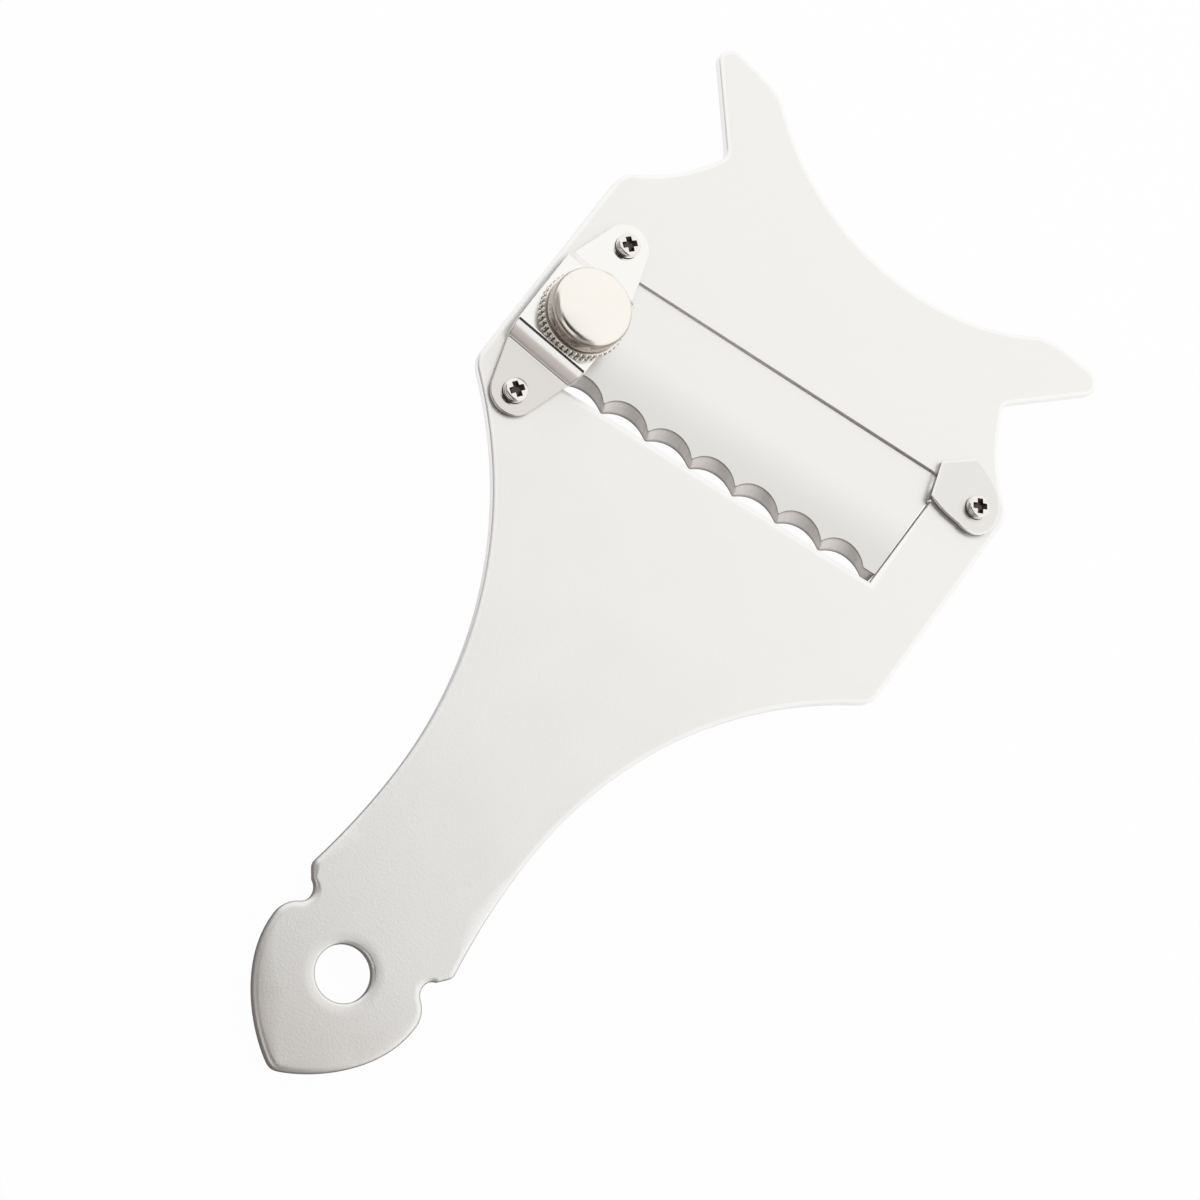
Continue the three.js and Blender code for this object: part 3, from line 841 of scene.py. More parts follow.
@dataclass(frozen=True)
class Finish:
    """A metal finish: two tones, a span of roughness and the relief of its surface."""

    name: str
    dark: Colour
    light: Colour
    rough: tuple[float, float]
    scales: tuple[float, float, float]
    relief: float
    lines: Optional[tuple[float, float, float]] = None
    # painted shade: a dark line along both rims of a wall
    painted_edge_shade: Optional[Colour] = None
    # painted highlight: a lighter tone on the rolled front edges
    edge_highlight: Optional[Colour] = None
    # painted shade: a darker tone on one side of a line, standing in for darker reflections there
    fade: Optional[Colour] = None
    painted_shade_line: tuple[float, float, float, float] = (0.0, 1.0, 0.0, 0.01)
    metallic: float = 1.0

    # painted shade along both rims of the wall, by its height up the wall
    EDGE_SHADE_STOPS: ClassVar = ((0.0, 0.85), (0.1, 0.35), (0.2, 0.0), (0.82, 0.0), (0.93, 0.45), (1.0, 0.9))
    HIGHLIGHT_STOPS: ClassVar = ((0.0, 0.0), (0.5, 0.85), (1.0, 1.0))
    MOTTLE_SPAN: ClassVar = (0.3, 0.7)

    def material(self) -> bpy.types.Material:
        """Builds the finish as a node material, once.

        Returns:
            The material.
        """
        known = bpy.data.materials.get(self.name)
        if known:
            return known
        made = bpy.data.materials.new(self.name)
        made.use_nodes = True
        nodes = Nodes(made.node_tree)
        sockets = made.node_tree.nodes["Principled BSDF"].inputs
        sockets["Metallic"].default_value = self.metallic
        scales = dict(zip(("Grain", "Pits", "Mottle"), self.scales))
        grain = nodes.node("ShaderNodeGroup", scales, node_tree=Shading.grain())
        share, height = grain.outputs["Mottle"], grain.outputs["Height"]
        if self.lines:
            scales = dict(zip(("Turn", "Across", "Along"), self.lines))
            share = height = nodes.node("ShaderNodeGroup", scales, node_tree=Shading.lines()).outputs["Lines"]
        colour = nodes.mixed(share, (*self.dark, 1), (*self.light, 1))
        # painted shade along the rims of the bevel
        if self.painted_edge_shade:
            colour = self.tinted(nodes, colour, "rise", self.EDGE_SHADE_STOPS, self.painted_edge_shade)
        # painted highlight on the rolled edges
        if self.edge_highlight:
            colour = self.tinted(nodes, colour, "highlight_band", self.HIGHLIGHT_STOPS, self.edge_highlight)
        # painted shade on one side of a line
        if self.fade:
            colour = self.with_painted_shade(nodes, colour)
        bump = nodes.node("ShaderNodeBump", {"Strength": 1.0, "Distance": self.relief, "Height": height})
        rough = nodes.ranged(grain.outputs["Mottle"], (*self.MOTTLE_SPAN, *self.rough))
        nodes.link(colour, sockets["Base Color"])
        nodes.link(rough, sockets["Roughness"])
        nodes.link(bump.outputs["Normal"], sockets["Normal"])
        return made

    def with_painted_shade(self, nodes: Nodes, colour: bpy.types.NodeSocket) -> bpy.types.NodeSocket:
        """Mixes painted shade into a colour: its darker tone is full before the line begins and gone where it
        ends.
        """
        *across, start, end = self.painted_shade_line
        reach = nodes.vector("DOT_PRODUCT", {0: nodes.place(), 1: (*across, 0.0)}).outputs["Value"]
        return nodes.mixed(nodes.ranged(reach, (start, end), smooth=True), (*self.fade, 1), colour)

    @staticmethod
    def tinted(
        nodes: Nodes, colour: bpy.types.NodeSocket, attribute: str, stops: Sequence[tuple[float, float]],
        tint: Colour,
    ) -> bpy.types.NodeSocket:
        """Mixes a tint into a colour by an attribute of the mesh.

        Args:
            nodes: The material's nodes.
            colour: Colour of the face.
            attribute: Name of the attribute.
            stops: Pairs of the attribute's value and the share of the tint there.
            tint: The other colour.

        Returns:
            The mixed colour.
        """
        value = nodes.node("ShaderNodeAttribute", attribute_name=attribute).outputs["Fac"]
        ramp = nodes.node("ShaderNodeValToRGB", {"Fac": value})
        elements = ramp.color_ramp.elements
        while len(elements) < len(stops):
            elements.new(0.5)
        for element, (place, amount) in zip(elements, stops):
            element.position = place
            element.color = (amount, amount, amount, 1)
        return nodes.mixed(ramp.outputs["Color"], colour, (*tint, 1))


SATIN = Finish(
    "satin_blasted_steel", dark=(0.902, 0.893, 0.876), light=(0.942, 0.934, 0.918), rough=(0.36, 0.43),
    # painted highlight: lighter rolled edges
    scales=(4200, 2000, 70), relief=1.3e-5, edge_highlight=(0.985, 0.98, 0.972),
    # painted shade: darker and warmer towards the leaf's end, where the reflections fall off
    fade=(0.857, 0.826, 0.803), painted_shade_line=(0.0, 1.0, -0.103, -0.075),
)
BLADE_SATIN = Finish(
    "satin_blade_steel", dark=(0.885, 0.876, 0.858), light=(0.92, 0.912, 0.895), rough=(0.3, 0.37),
    scales=(6500, 2400, 60), relief=4.0e-6,
    # painted shade: darker towards the wavy edge, standing in for a hollow grind reflecting the dark
    # surroundings
    fade=(0.768, 0.756, 0.737), painted_shade_line=(-0.1719, 0.9851, 0.034, 0.046),
)
# The ear and the step, the same sheet as the blade, in a darker copy of its finish: painted shade.
SHADED_EAR_SATIN = Finish(
    "satin_ear_shaded_steel", dark=(0.8, 0.79, 0.772), light=(0.86, 0.85, 0.832), rough=(0.3, 0.37),
    # painted highlight: lighter rolled edges
    scales=(6500, 2400, 60), relief=4.0e-6, edge_highlight=(0.985, 0.98, 0.97),
)
# Smoother burnished steel whose lighter tone is a painted highlight: the bright line along the blade's front
# edge and the hang hole's wall.
BURNISH_AND_HIGHLIGHT = Finish(
    "burnished_rim_highlight", dark=(0.97, 0.962, 0.95), light=(0.99, 0.985, 0.975), rough=(0.14, 0.2),
    scales=(6500, 2400, 60), relief=1.0e-6,
)
GROUND = Finish(
    "ground_edge_steel", dark=(0.675, 0.645, 0.628), light=(0.92, 0.886, 0.866), rough=(0.45, 0.55),
    scales=(6000, 2000, 200), relief=2.0e-6, lines=(math.radians(-9.9), 9000, 600),
    # painted shade: dark lines along both rims of the ground bevel
    painted_edge_shade=(0.13, 0.112, 0.1),
)
# Rough sheared walls, painted far darker than steel: the real dull shear and painted shade on the walls.
SHEARED_AND_SHADED = Finish(
    "sheared_shaded_edge_steel", dark=(0.21, 0.196, 0.187), light=(0.38, 0.36, 0.345), rough=(0.34, 0.48),
    scales=(7000, 2600, 400), relief=6.0e-6,
)
SHADED_EDGE = Finish(
    "window_edge_steel", dark=(0.74, 0.7, 0.67), light=(0.9, 0.87, 0.85), rough=(0.45, 0.6),
    scales=(7000, 2600, 400), relief=6.0e-6, metallic=0.3,
)
POLISHED = Finish(
    "polished_bracket_steel", dark=(0.93, 0.918, 0.9), light=(0.965, 0.955, 0.94), rough=(0.12, 0.18),
    # painted shade: darker over the lower ear and the foot of the ramp
    scales=(4200, 1500, 90), relief=1.5e-6, fade=(0.74, 0.712, 0.69), painted_shade_line=(0.0, 1.0, 0.0245, 0.028),
)
NICKEL = Finish(
    "bright_nickel", dark=(0.945, 0.91, 0.85), light=(0.975, 0.945, 0.895), rough=(0.2, 0.25),
    scales=(3500, 900, 160), relief=1.0e-6,
)
# Painted shade and reflection: the knob's side under the cap's rounding, dark as its dark reflection.
SHADED_SIDE_NICKEL = Finish(
    "knob_side_painted_shade", dark=(0.36, 0.315, 0.275), light=(0.52, 0.465, 0.41), rough=(0.16, 0.22),
    scales=(3500, 900, 160), relief=1.0e-6,
)
# Painted shade between the knob's teeth and in the groove under its cap.
GROOVE_PAINTED_SHADE = Finish(
    "knob_groove_painted_shade", dark=(0.16, 0.135, 0.115), light=(0.3, 0.265, 0.235), rough=(0.25, 0.4),
    scales=(6000, 2500, 700), relief=2.0e-6,
)
SCREW_NICKEL = Finish(
    "screw_nickel", dark=(0.86, 0.84, 0.81), light=(0.92, 0.9, 0.88), rough=(0.12, 0.18),
    scales=(5000, 1500, 300), relief=1.2e-6,
)
# Painted shade in the cross recess and a painted contact shadow round the foot of each head.
RECESS_PAINTED_SHADE = Finish(
    "recess_painted_shade", dark=(0.06, 0.046, 0.04), light=(0.17, 0.135, 0.115), rough=(0.35, 0.55),
    scales=(6000, 2500, 900), relief=4.0e-6, metallic=0.8,
)


def dress(obj: bpy.types.Object, finishes: Sequence[Finish]) -> None:
    """Gives an object its finishes, in the order of its material indices."""
    for finish in finishes:
        obj.data.materials.append(finish.material())


def enrol(obj: bpy.types.Object, body: Body, nodes: Sequence[str]) -> None:
    """Says which body a piece moves with and hides the imported nodes that it stands for."""
    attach(obj, body.value)
    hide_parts(*nodes)
    LOG.info("%s rides on %s, %d faces", obj.name, body.value, len(obj.data.polygons))


# The pieces


@dataclass
class Window:
    """The slanted window and the lines of the blade in it, in millimetres."""

    slant: float = math.radians(9.9)
    side_lean: float = math.radians(1.0)
    foot_y: float = 30.35
    top_y: float = 57.1
    left_x: float = -43.3
    right_x: float = 34.25
    relief_x: float = 35.6
    neck_top: Plan = spot(31.65, 64.85)
    neck_foot: Plan = spot(33.87, 57.97)
    step_gap: float = 0.3
    foot_margin: float = 0.8

    def foot(self, x: float) -> float:
        """Height of the window's lower edge at a place across."""
        return self.foot_y + x * math.tan(self.slant)

    def top(self, x: float) -> float:
        """Height of the window's upper edge at a place across."""
        return self.top_y + x * math.tan(self.slant)

    def right(self, y: float) -> float:
        """Place of the window's right edge at a height."""
        return self.right_x + (y - self.foot(self.right_x)) * math.tan(self.side_lean)

    def loop(self) -> Plan:
        """The window's edge, clockwise, with the relief for the blade's step."""
        relief_y = self.neck_foot[1] - self.step_gap
        foot_xs = (self.right_x, self.right_x - self.foot_margin, self.left_x + self.foot_margin)
        return np.array([
            [self.left_x, self.foot(self.left_x)],
            [self.left_x, self.top(self.left_x)],
            [self.relief_x, self.top(self.relief_x)],
            [self.relief_x, relief_y],
            [self.right(relief_y), relief_y],
            *[[x, self.foot(x)] for x in foot_xs],
        ])


@dataclass
class BodyPlate:
    """The stamped plate: leaf-shaped end, waisted handle, head with its window and two horns."""

    window: Window
    screws: Sequence[Plan]
    half_length: float = 102.4
    tip_pull: Plan = spot(6.0, 2.6)
    leaf_half: float = 15.2
    leaf_widest_y: float = -81.8
    belly: float = 10.0
    shoulder: float = 4.9
    notch: Plan = spot(14.5, -75.8)
    notch_end: float = math.radians(112)
    waist_half: float = 13.6
    waist_y: float = -50.2
    grip_radius: float = 130.0
    grip_start: tuple[float, float] = (-71.4, -70.5)
    grip_round: float = 0.9
    flare_radius: float = 85.0
    head_foot: Plan = spot(47.55, 17.8)
    head_top: Plan = spot(48.4, 65.2)
    neck: Plan = spot(34.9, 83.3)
    neck_bulge: float = 2.4
    horn: Plan = spot(48.8, 99.3)
    horn_top: Plan = spot(46.9, 102.485)
    horn_inner: Plan = spot(36.1, 101.8)
    corner: float = 2.2
    horn_round: float = 1.8
    inner_round: float = 2.8
    arch_radius: float = 51.2
    arch_bottom: float = 88.15
    hang_y: float = -82.6
    hang_radius: float = 4.9
    steps: int = 36
    tip_round: float = 1.3
    outer_roll: float = 0.3
    leaf_roll: float = 0.68
    leaf_fade: tuple[float, float] = (-74.0, -50.0)
    window_roll: float = 0.07
    foot_roll: float = 0.1
    hang_roll: float = 0.45
    screw_roll: float = 0.12
    back_roll: float = 0.35
    roll_flare: float = 1.7
    crown_widths: tuple[float, float] = (4.8, 0.4)
    crown_slopes: tuple[float, float] = (0.062, 0.08)
    hang_crown: tuple[float, float] = (1.4, 0.1)
    foot_crown: tuple[float, float] = (1.15, 0.6)
    no_crown: tuple[float, float] = (0.05, 0.0)

    def half(self) -> Plan:
        """Right half of the outline, from the leaf's tip to the middle of the arch."""
        tip = vec(0, -self.half_length)
        trace = Trace(tip, self.steps)
        widest = vec(self.leaf_half, self.leaf_widest_y)
        shoulder = widest - vec(self.shoulder, 0)
        to_notch = self.notch - shoulder
        lean = math.atan2(to_notch[1], to_notch[0])
        notch_radius = float(np.linalg.norm(to_notch)) - self.shoulder
        trace.cubic(tip + self.tip_pull, widest - vec(0, self.belly), widest)
        trace.arc(shoulder, self.shoulder, 0, lean)
        trace.arc(self.notch, notch_radius, lean + math.pi, self.notch_end)
        self.grip(trace)
        self.head(trace)
        return self.blunted(np.array(trace.points))

    def grip(self, trace: Trace) -> None:
        """Adds the waisted handle, as far as the foot of the head."""
        grip = vec(self.waist_half + self.grip_radius, self.waist_y)
        flare = vec(self.waist_half + self.flare_radius, self.waist_y)
        start, end = (math.pi - math.asin((y - self.waist_y) / self.grip_radius) for y in self.grip_start)
        low, high = (grip + self.grip_radius * vec(math.cos(a), math.sin(a)) for a in (start, end))
        trace.corner(low, high, self.grip_round)
        trace.arc(grip, self.grip_radius, end, math.pi)
        rise = self.head_foot[1] - self.corner * math.sqrt(0.5) - self.waist_y
        trace.arc(flare, self.flare_radius, math.pi, math.pi - math.asin(rise / self.flare_radius))
        trace.quad(self.head_foot, self.head_foot + vec(0, self.corner))

    def head(self, trace: Trace) -> None:
        """Adds the head's side, the horn and half of the arch between the horns."""
        trace.corner(self.head_top, self.neck, self.corner)
        start = trace.points[-1]
        end = self.neck + unit(self.head_top - self.neck) * self.corner
        chord = end - start
        trace.quad((start + end) / 2 + unit(vec(-chord[1], chord[0])) * self.neck_bulge, end)
        trace.corner(self.neck, self.horn, self.corner)
        trace.corner(self.horn, self.horn_top, self.horn_round)
        trace.corner(self.horn_top, self.horn_inner, self.horn_round)
        inner = self.horn_inner
        arch = vec(0, self.arch_bottom + self.arch_radius)
        begin = -math.acos((inner[0] - self.inner_round) / self.arch_radius)
        trace.line(inner + unit(self.horn_top - inner) * self.inner_round)
        trace.quad(inner, arch + self.arch_radius * vec(math.cos(begin), math.sin(begin)))
        trace.arc(arch, self.arch_radius, begin, -math.pi / 2)

    def blunted(self, half: Plan) -> Plan:
        """Rounds the leaf's tip, where the half outline begins."""
        tip = half[0]
        rest = half[np.linalg.norm(half - tip, axis=1) > self.tip_round]
        side = tip + unit(rest[0] - tip) * self.tip_round
        curve = Trace(vec(0, (tip[1] + side[1]) / 2), 8)
        curve.quad((tip + side) / 2, side)
        return np.concatenate([curve.points, rest])

    def roll(self, k: int, plan: Plan) -> np.ndarray:
        """Roll of each front edge: outer edge, window with its softer foot, hang hole, screw holes."""
        if k == 0:
            return np.interp(plan[:, 1], self.leaf_fade, (self.leaf_roll, self.outer_roll))
        if k == 1:
            return np.where(self.at_foot(plan), self.foot_roll, self.window_roll)
        return np.full(len(plan), self.hang_roll if k == 2 else self.screw_roll)

    def at_foot(self, plan: Plan) -> np.ndarray:
        """Which places of the window's edge lie on its lower side."""
        return plan[:, 1] - plan[:, 0] * math.tan(self.window.slant) < self.window.foot_y + 0.1

    def crown(self, k: int, plan: Plan) -> tuple[np.ndarray, np.ndarray]:
        """Width and slope of the fall to each edge: wide round the leaf, steep at the window's foot."""
        if k == 0:
            spans = (self.crown_widths, self.crown_slopes)
            width, slope = (np.interp(plan[:, 1], self.leaf_fade, span) for span in spans)
            return width, slope
        foot = self.at_foot(plan)[:, None] if k == 1 else np.zeros((len(plan), 1), bool)
        width, slope = np.where(foot, self.foot_crown, self.hang_crown if k == 2 else self.no_crown).T
        return width, slope

    def highlight_share(self, _: int, plan: Plan) -> np.ndarray:
        """Share of painted highlight on each edge: none round the leaf, full at the head and the window."""
        return np.interp(plan[:, 1], self.leaf_fade, (0.0, 1.0))

    def build(self) -> bpy.types.Object:
        """Builds and dresses the plate.

        Returns:
            The finished piece.
        """
        right = self.half()
        left = right[1:-1][::-1] * np.array([-1.0, 1.0])
        hang_hole = hole_loop(vec(0, self.hang_y), self.hang_radius, 96)
        loops = [np.concatenate([right, left]), self.window.loop(), hang_hole]
        loops += [screw_hole(place) for place in self.screws]
        plate = Sheet(
            "plate", loops, PLATE_TOP, self.roll, self.back_roll, flare=self.roll_flare, crown=self.crown,
            highlight_share=self.highlight_share, wall_finish=[0, 1, 2],
        ).build()
        # The hang hole's wall gets the burnished finish with its painted highlight.
        dress(plate, [SATIN, SHADED_EDGE, BURNISH_AND_HIGHLIGHT])
        enrol(plate, Body.ROOT, ["body_plate"])
        return plate


@dataclass
class WavyBlade:
    """The blade with its ground wavy edge, its step and the ear on the plate: one bent sheet."""

    window: Window
    stem: Plan
    screw: Plan
    thickness: float = 1.2
    bottom: float = 0.1
    scallops: int = 7
    pitch: float = 9.52
    depth: float = 2.0
    first_cusp_x: float = -33.1
    cusp_gap: float = 0.35
    bevel_width: float = 1.65
    bevel_depth: float = 2.8
    bevel_lean: float = -0.6
    blunt: float = 0.3
    bevel_blunt: float = 0.12
    steps: int = 28
    edge_roll: float = 0.1
    keen_roll: float = 0.012
    keen_margin: float = 0.3
    ground_margin: float = 0.2
    rim_width: float = 0.3
    fit: float = 0.06
    side_fit: float = 0.25
    tuck: float = 0.8
    heel_gap: Plan = spot(0.12, 0.25)
    ear_centre: Plan = spot(42.2, 61.7)
    ear_radius: float = 4.8
    ear_turn: tuple[float, float] = (-105.0, 12.0)
    ear_low: Plan = spot(37.0, 56.75)
    ear_side: Plan = spot(46.2, 68.0)
    ear_top: Plan = spot(39.0, 69.9)
    ear_corner: Plan = spot(36.9, 70.4)
    ear_rounds: tuple[float, float, float] = (0.25, 1.0, 0.4)
    ear_roll: float = 0.3
    ear_flare: float = 1.8
    step_inset: float = 0.1
    step_roll: float = 0.02
    step_base: float = 0.05
    step_drop: float = 0.7
    hinge_along: float = 3.6
    hinge_height: float = 0.7
    bend_reach: tuple[float, float] = (0.2, 3.0)

    def __post_init__(self) -> None:
        """Sets the blade's own directions and the ends of its step."""
        w = self.window
        self.along = vec(math.cos(w.slant), math.sin(w.slant))
        self.across = vec(-math.sin(w.slant), math.cos(w.slant))
        self.cusp = vec(self.first_cusp_x, w.foot(self.first_cusp_x)) + self.across * self.cusp_gap
        self.heel = w.neck_foot - self.heel_gap
        self.neck_along = unit(self.heel - w.neck_top)
        self.to_ear = vec(-self.neck_along[1], self.neck_along[0])
        above = w.top(w.neck_top[0]) - self.fit - w.neck_top[1]
        fall = self.neck_along[1] - self.neck_along[0] * math.tan(w.slant)
        self.joint = w.neck_top + self.neck_along * (above / fall)

    def scallop(self, place: np.ndarray, depth: float) -> np.ndarray:
        """Height of a round scallop above the line of its cusps."""
        half = self.pitch / 2
        radius = (half**2 + depth**2) / (2 * depth)
        return np.sqrt(radius**2 - (place - half) ** 2) - (radius - depth)

    def wave(self, depth: float, raise_by: float, lean: float, blunt: float) -> Plan:
        """One wavy line from the first cusp to the last, with its cusps blunted."""
        one = np.linspace(0, self.pitch, self.steps, endpoint=False)
        places = np.concatenate([one + k * self.pitch for k in range(self.scallops)])
        places = np.append(places, self.scallops * self.pitch)
        heights = self.scallop(places % self.pitch, depth)
        heights = np.sqrt(np.maximum(heights, 0) ** 2 + blunt**2)
        first = self.cusp + self.across * raise_by + self.along * lean
        return first + places[:, None] * self.along + heights[:, None] * self.across

    def strip(self, depth: float, raise_by: float, lean: float, blunt: float) -> Plan:
        """Outline of the blade as far as it reaches under its step, anticlockwise.

        Args:
            depth: Depth of the scallops.
            raise_by: How far the wavy line lies above the cusps.
            lean: How far it is shifted along the blade.
            blunt: How far its cusps are blunted.

        Returns:
            The loop.
        """
        w = self.window
        wave = self.wave(depth, raise_by, lean, blunt)
        left_x = w.left_x + self.side_fit
        right_x = w.right(wave[-1][1]) - self.side_fit
        rise = math.tan(w.slant)
        trace = Trace(vec(left_x, wave[0][1] + (left_x - wave[0][0]) * rise), self.steps)
        for point in wave:
            trace.line(point)
        trace.line(vec(right_x, wave[-1][1] + (right_x - wave[-1][0]) * rise))
        trace.line(vec(w.right(self.heel[1]) - self.side_fit / 2, self.heel[1] - self.side_fit))
        trace.line(self.heel + self.to_ear * self.tuck)
        trace.line(self.joint + self.along * self.tuck)
        trace.line(vec(left_x, w.top(left_x) - self.fit))
        return trace.loop()

    def ear(self) -> Plan:
        """Outline of the ear on the plate, anticlockwise."""
        start, end = (math.radians(angle) for angle in self.ear_turn)
        heel_round, corner_round, neck_round = self.ear_rounds
        neck = self.window.neck_top
        trace = Trace(self.heel + unit(neck - self.heel) * heel_round, 14)
        trace.quad(self.heel, self.heel + unit(self.ear_low - self.heel) * heel_round)
        trace.quad(self.ear_low, self.ear_centre + self.ear_radius * vec(math.cos(start), math.sin(start)))
        trace.arc(self.ear_centre, self.ear_radius, start, end)
        trace.quad(self.ear_side, self.ear_top)
        trace.corner(self.ear_corner, neck, corner_round)
        trace.corner(neck, self.heel, neck_round)
        trace.line(trace.points[0])
        return trace.loop()

    def riser(self) -> Plan:
        """Outline of the step between blade and ear, anticlockwise."""
        inset = self.neck_along * self.step_inset
        low, high, tuck = self.heel - inset, self.joint + inset, self.to_ear * self.tuck
        return np.array([low, low + tuck, high + tuck, high])

    def edge_height(self, plan: Plan) -> np.ndarray:
        """Distance of each place above the line of the cusps."""
        return (plan - self.cusp) @ self.across

    def ground(self, plan: Plan) -> np.ndarray:
        """Which places of the back lie on the ground wave."""
        return self.edge_height(plan) < self.depth + self.ground_margin

    def keen(self, plan: Plan) -> np.ndarray:
        """Which places of the front lie on the wave."""
        return self.edge_height(plan) < self.bevel_width + self.bevel_depth + self.keen_margin

    def roll(self, _: int, plan: Plan) -> np.ndarray:
        """Roll of the blade's front edge, keen at the wave."""
        return np.where(self.keen(plan), self.keen_roll, self.edge_roll)

    def rim(self, _: int, plan: Plan) -> np.ndarray:
        """Width of the line along the blade's front edge that gets the smoother burnished finish with its
        painted highlight, next to none at the wave.
        """
        return np.where(self.keen(plan), self.keen_roll, self.rim_width)

    def sheets(self) -> list[Sheet]:
        """The flat strip, the ear and the step between them."""
        back = self.strip(self.depth, 0.0, 0.0, self.blunt)
        front = self.strip(self.bevel_depth, self.bevel_width, self.bevel_lean, self.bevel_blunt)
        slot = stem_hole(self.stem)
        rise = PLATE_TOP + self.thickness - self.bottom - self.step_drop
        return [
            Sheet(
                "wavy_blade", [back, slot], self.thickness, self.roll, HOLE_ROLL, [front, slot], self.bottom,
                wall_steps=6, wall_finish=[2, 2], rim=self.rim, rim_finish=3, ground_rule=self.ground,
            ),
            Sheet(
                "blade_ear", [self.ear(), screw_hole(self.screw)], self.thickness,
                even_roll(self.ear_roll, HOLE_ROLL), HOLE_ROLL, base=PLATE_TOP, wall_finish=[2, 2],
                flare=self.ear_flare,
            ),
            Sheet(
                "blade_step", [self.riser()], rise, even_roll(self.step_roll, self.step_roll), self.step_roll,
                base=self.bottom + self.step_base,
            ),
        ]

    def build(self) -> bpy.types.Object:
        """Builds and dresses the sheet as one mesh; the real sheet bends at its neck when the knob is turned.

        Returns:
            The finished piece.
        """
        made = [sheet.build() for sheet in self.sheets()]
        # The ear and the step get the darker copy of the blade's finish, which is painted shade.
        for obj, front_finish in zip(made, [BLADE_SATIN, SHADED_EAR_SATIN, SHADED_EAR_SATIN]):
            dress(obj, [front_finish, GROUND, SHEARED_AND_SHADED, BURNISH_AND_HIGHLIGHT])
        sheet = joined(made)
        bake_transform(sheet)
        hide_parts("cutting_blade", "blade_ear")
        LOG.info("%s bends between %s and %s", sheet.name, Body.ROOT.value, Body.BLADE.value)
        return sheet


@dataclass
class Bridge:
    """The hat-shaped bracket over the blade's left end."""

    knob: Plan
    centre: Plan = spot(-38.95, 35.9)
    lean: float = math.radians(1.0)
    thickness: float = 1.0
    width: float = 15.4
    platform: float = 16.4
    foot_spacing: float = 22.2
    rise: float = 2.6
    screw_spacing: float = 36.9
    ear_radius: float = 4.5
    foot_radius: float = 1.5
    ramp: Sequence[tuple[float, float]] = ((0.32, 34.0), (8.3, 41.0), (12.0, 50.0))
    flats: tuple[float, float] = (0.4, 0.08)
    edge_roll: float = 0.3

    def screws(self) -> list[Plan]:
        """Places of the lower and the upper screw."""
        up = vec(-math.sin(self.lean), math.cos(self.lean)) * self.screw_spacing / 2
        return [self.centre - up, self.centre + up]

    def plan(self) -> Plan:
        """Outline about the bracket's own centre."""
        half, plat, screw_y = self.width / 2, self.platform / 2, self.screw_spacing / 2
        rise = screw_y - plat
        taper = math.atan2(rise, -half) - math.asin(self.ear_radius / math.hypot(half, rise))
        touch = taper - math.pi / 2
        trace = Trace(vec(half, -plat), 40)
        trace.line(vec(half, plat))
        trace.arc(vec(0, screw_y), self.ear_radius, touch, math.pi - touch)
        trace.line(vec(-half, plat))
        trace.line(vec(-half, -plat))
        trace.arc(vec(0, -screw_y), self.ear_radius, math.pi + touch, 2 * math.pi - touch)
        return trace.loop()

    def bend(self) -> Bend:
        """The hat's back face: platform, sharp bend, curved ramp and rounded foot, on both sides."""
        s, z, slope, tilt = [0.0], [0.0], [0.0], 0.0
        arcs = [(radius, math.radians(degrees), 1) for radius, degrees in self.ramp]
        for radius, end, side in [*arcs, (self.foot_radius, 0.0, -1)]:
            from_s, from_z = s[-1], z[-1]
            for a in np.linspace(tilt, end, 9)[1:]:
                s.append(from_s + side * radius * (math.sin(a) - math.sin(tilt)))
                z.append(from_z - side * radius * (math.cos(tilt) - math.cos(a)))
                slope.append(-math.tan(a))
            tilt = end
        scale = self.rise / -z[-1]
        z = [PLATE_TOP + self.rise + scale * height for height in z]
        middle = float(np.interp(PLATE_TOP + self.rise / 2, z[::-1], s[::-1]))
        lean_in = self.thickness * math.tan(math.atan2(self.rise, middle) / 2)
        shift = (self.foot_spacing + self.platform) / 4 - lean_in - middle
        far, near = self.flats
        s = [place + shift for place in s]
        s = np.array([s[0] - far, s[0] - near, *s, s[-1] + near, s[-1] + far])
        z = np.array([z[0], z[0], *z, z[-1], z[-1]])
        slope = np.array([0.0, 0.0, *slope, 0.0, 0.0]) * scale
        both = [np.concatenate([sign * line[::-1], line]) for line, sign in ((s, -1), (z, 1), (slope, -1))]
        return Bend(vec(0, 0), vec(0, 1), *both)

    def build(self) -> bpy.types.Object:
        """Builds and dresses the bracket.

        Returns:
            The finished piece.
        """
        knob = turned(-self.lean) @ (self.knob - self.centre)
        half = vec(0, self.screw_spacing / 2)
        bracket = Sheet(
            "bridge", [self.plan(), screw_hole(half), screw_hole(-half), stem_hole(knob)], self.thickness,
            even_roll(self.edge_roll, HOLE_ROLL), HOLE_ROLL, bend=self.bend(), spin=self.lean,
            shift=self.centre, wall_finish=[1, 1, 1, 1],
        ).build()
        dress(bracket, [POLISHED, SHEARED_AND_SHADED])
        enrol(bracket, Body.ROOT, ["bridge_bracket"])
        return bracket


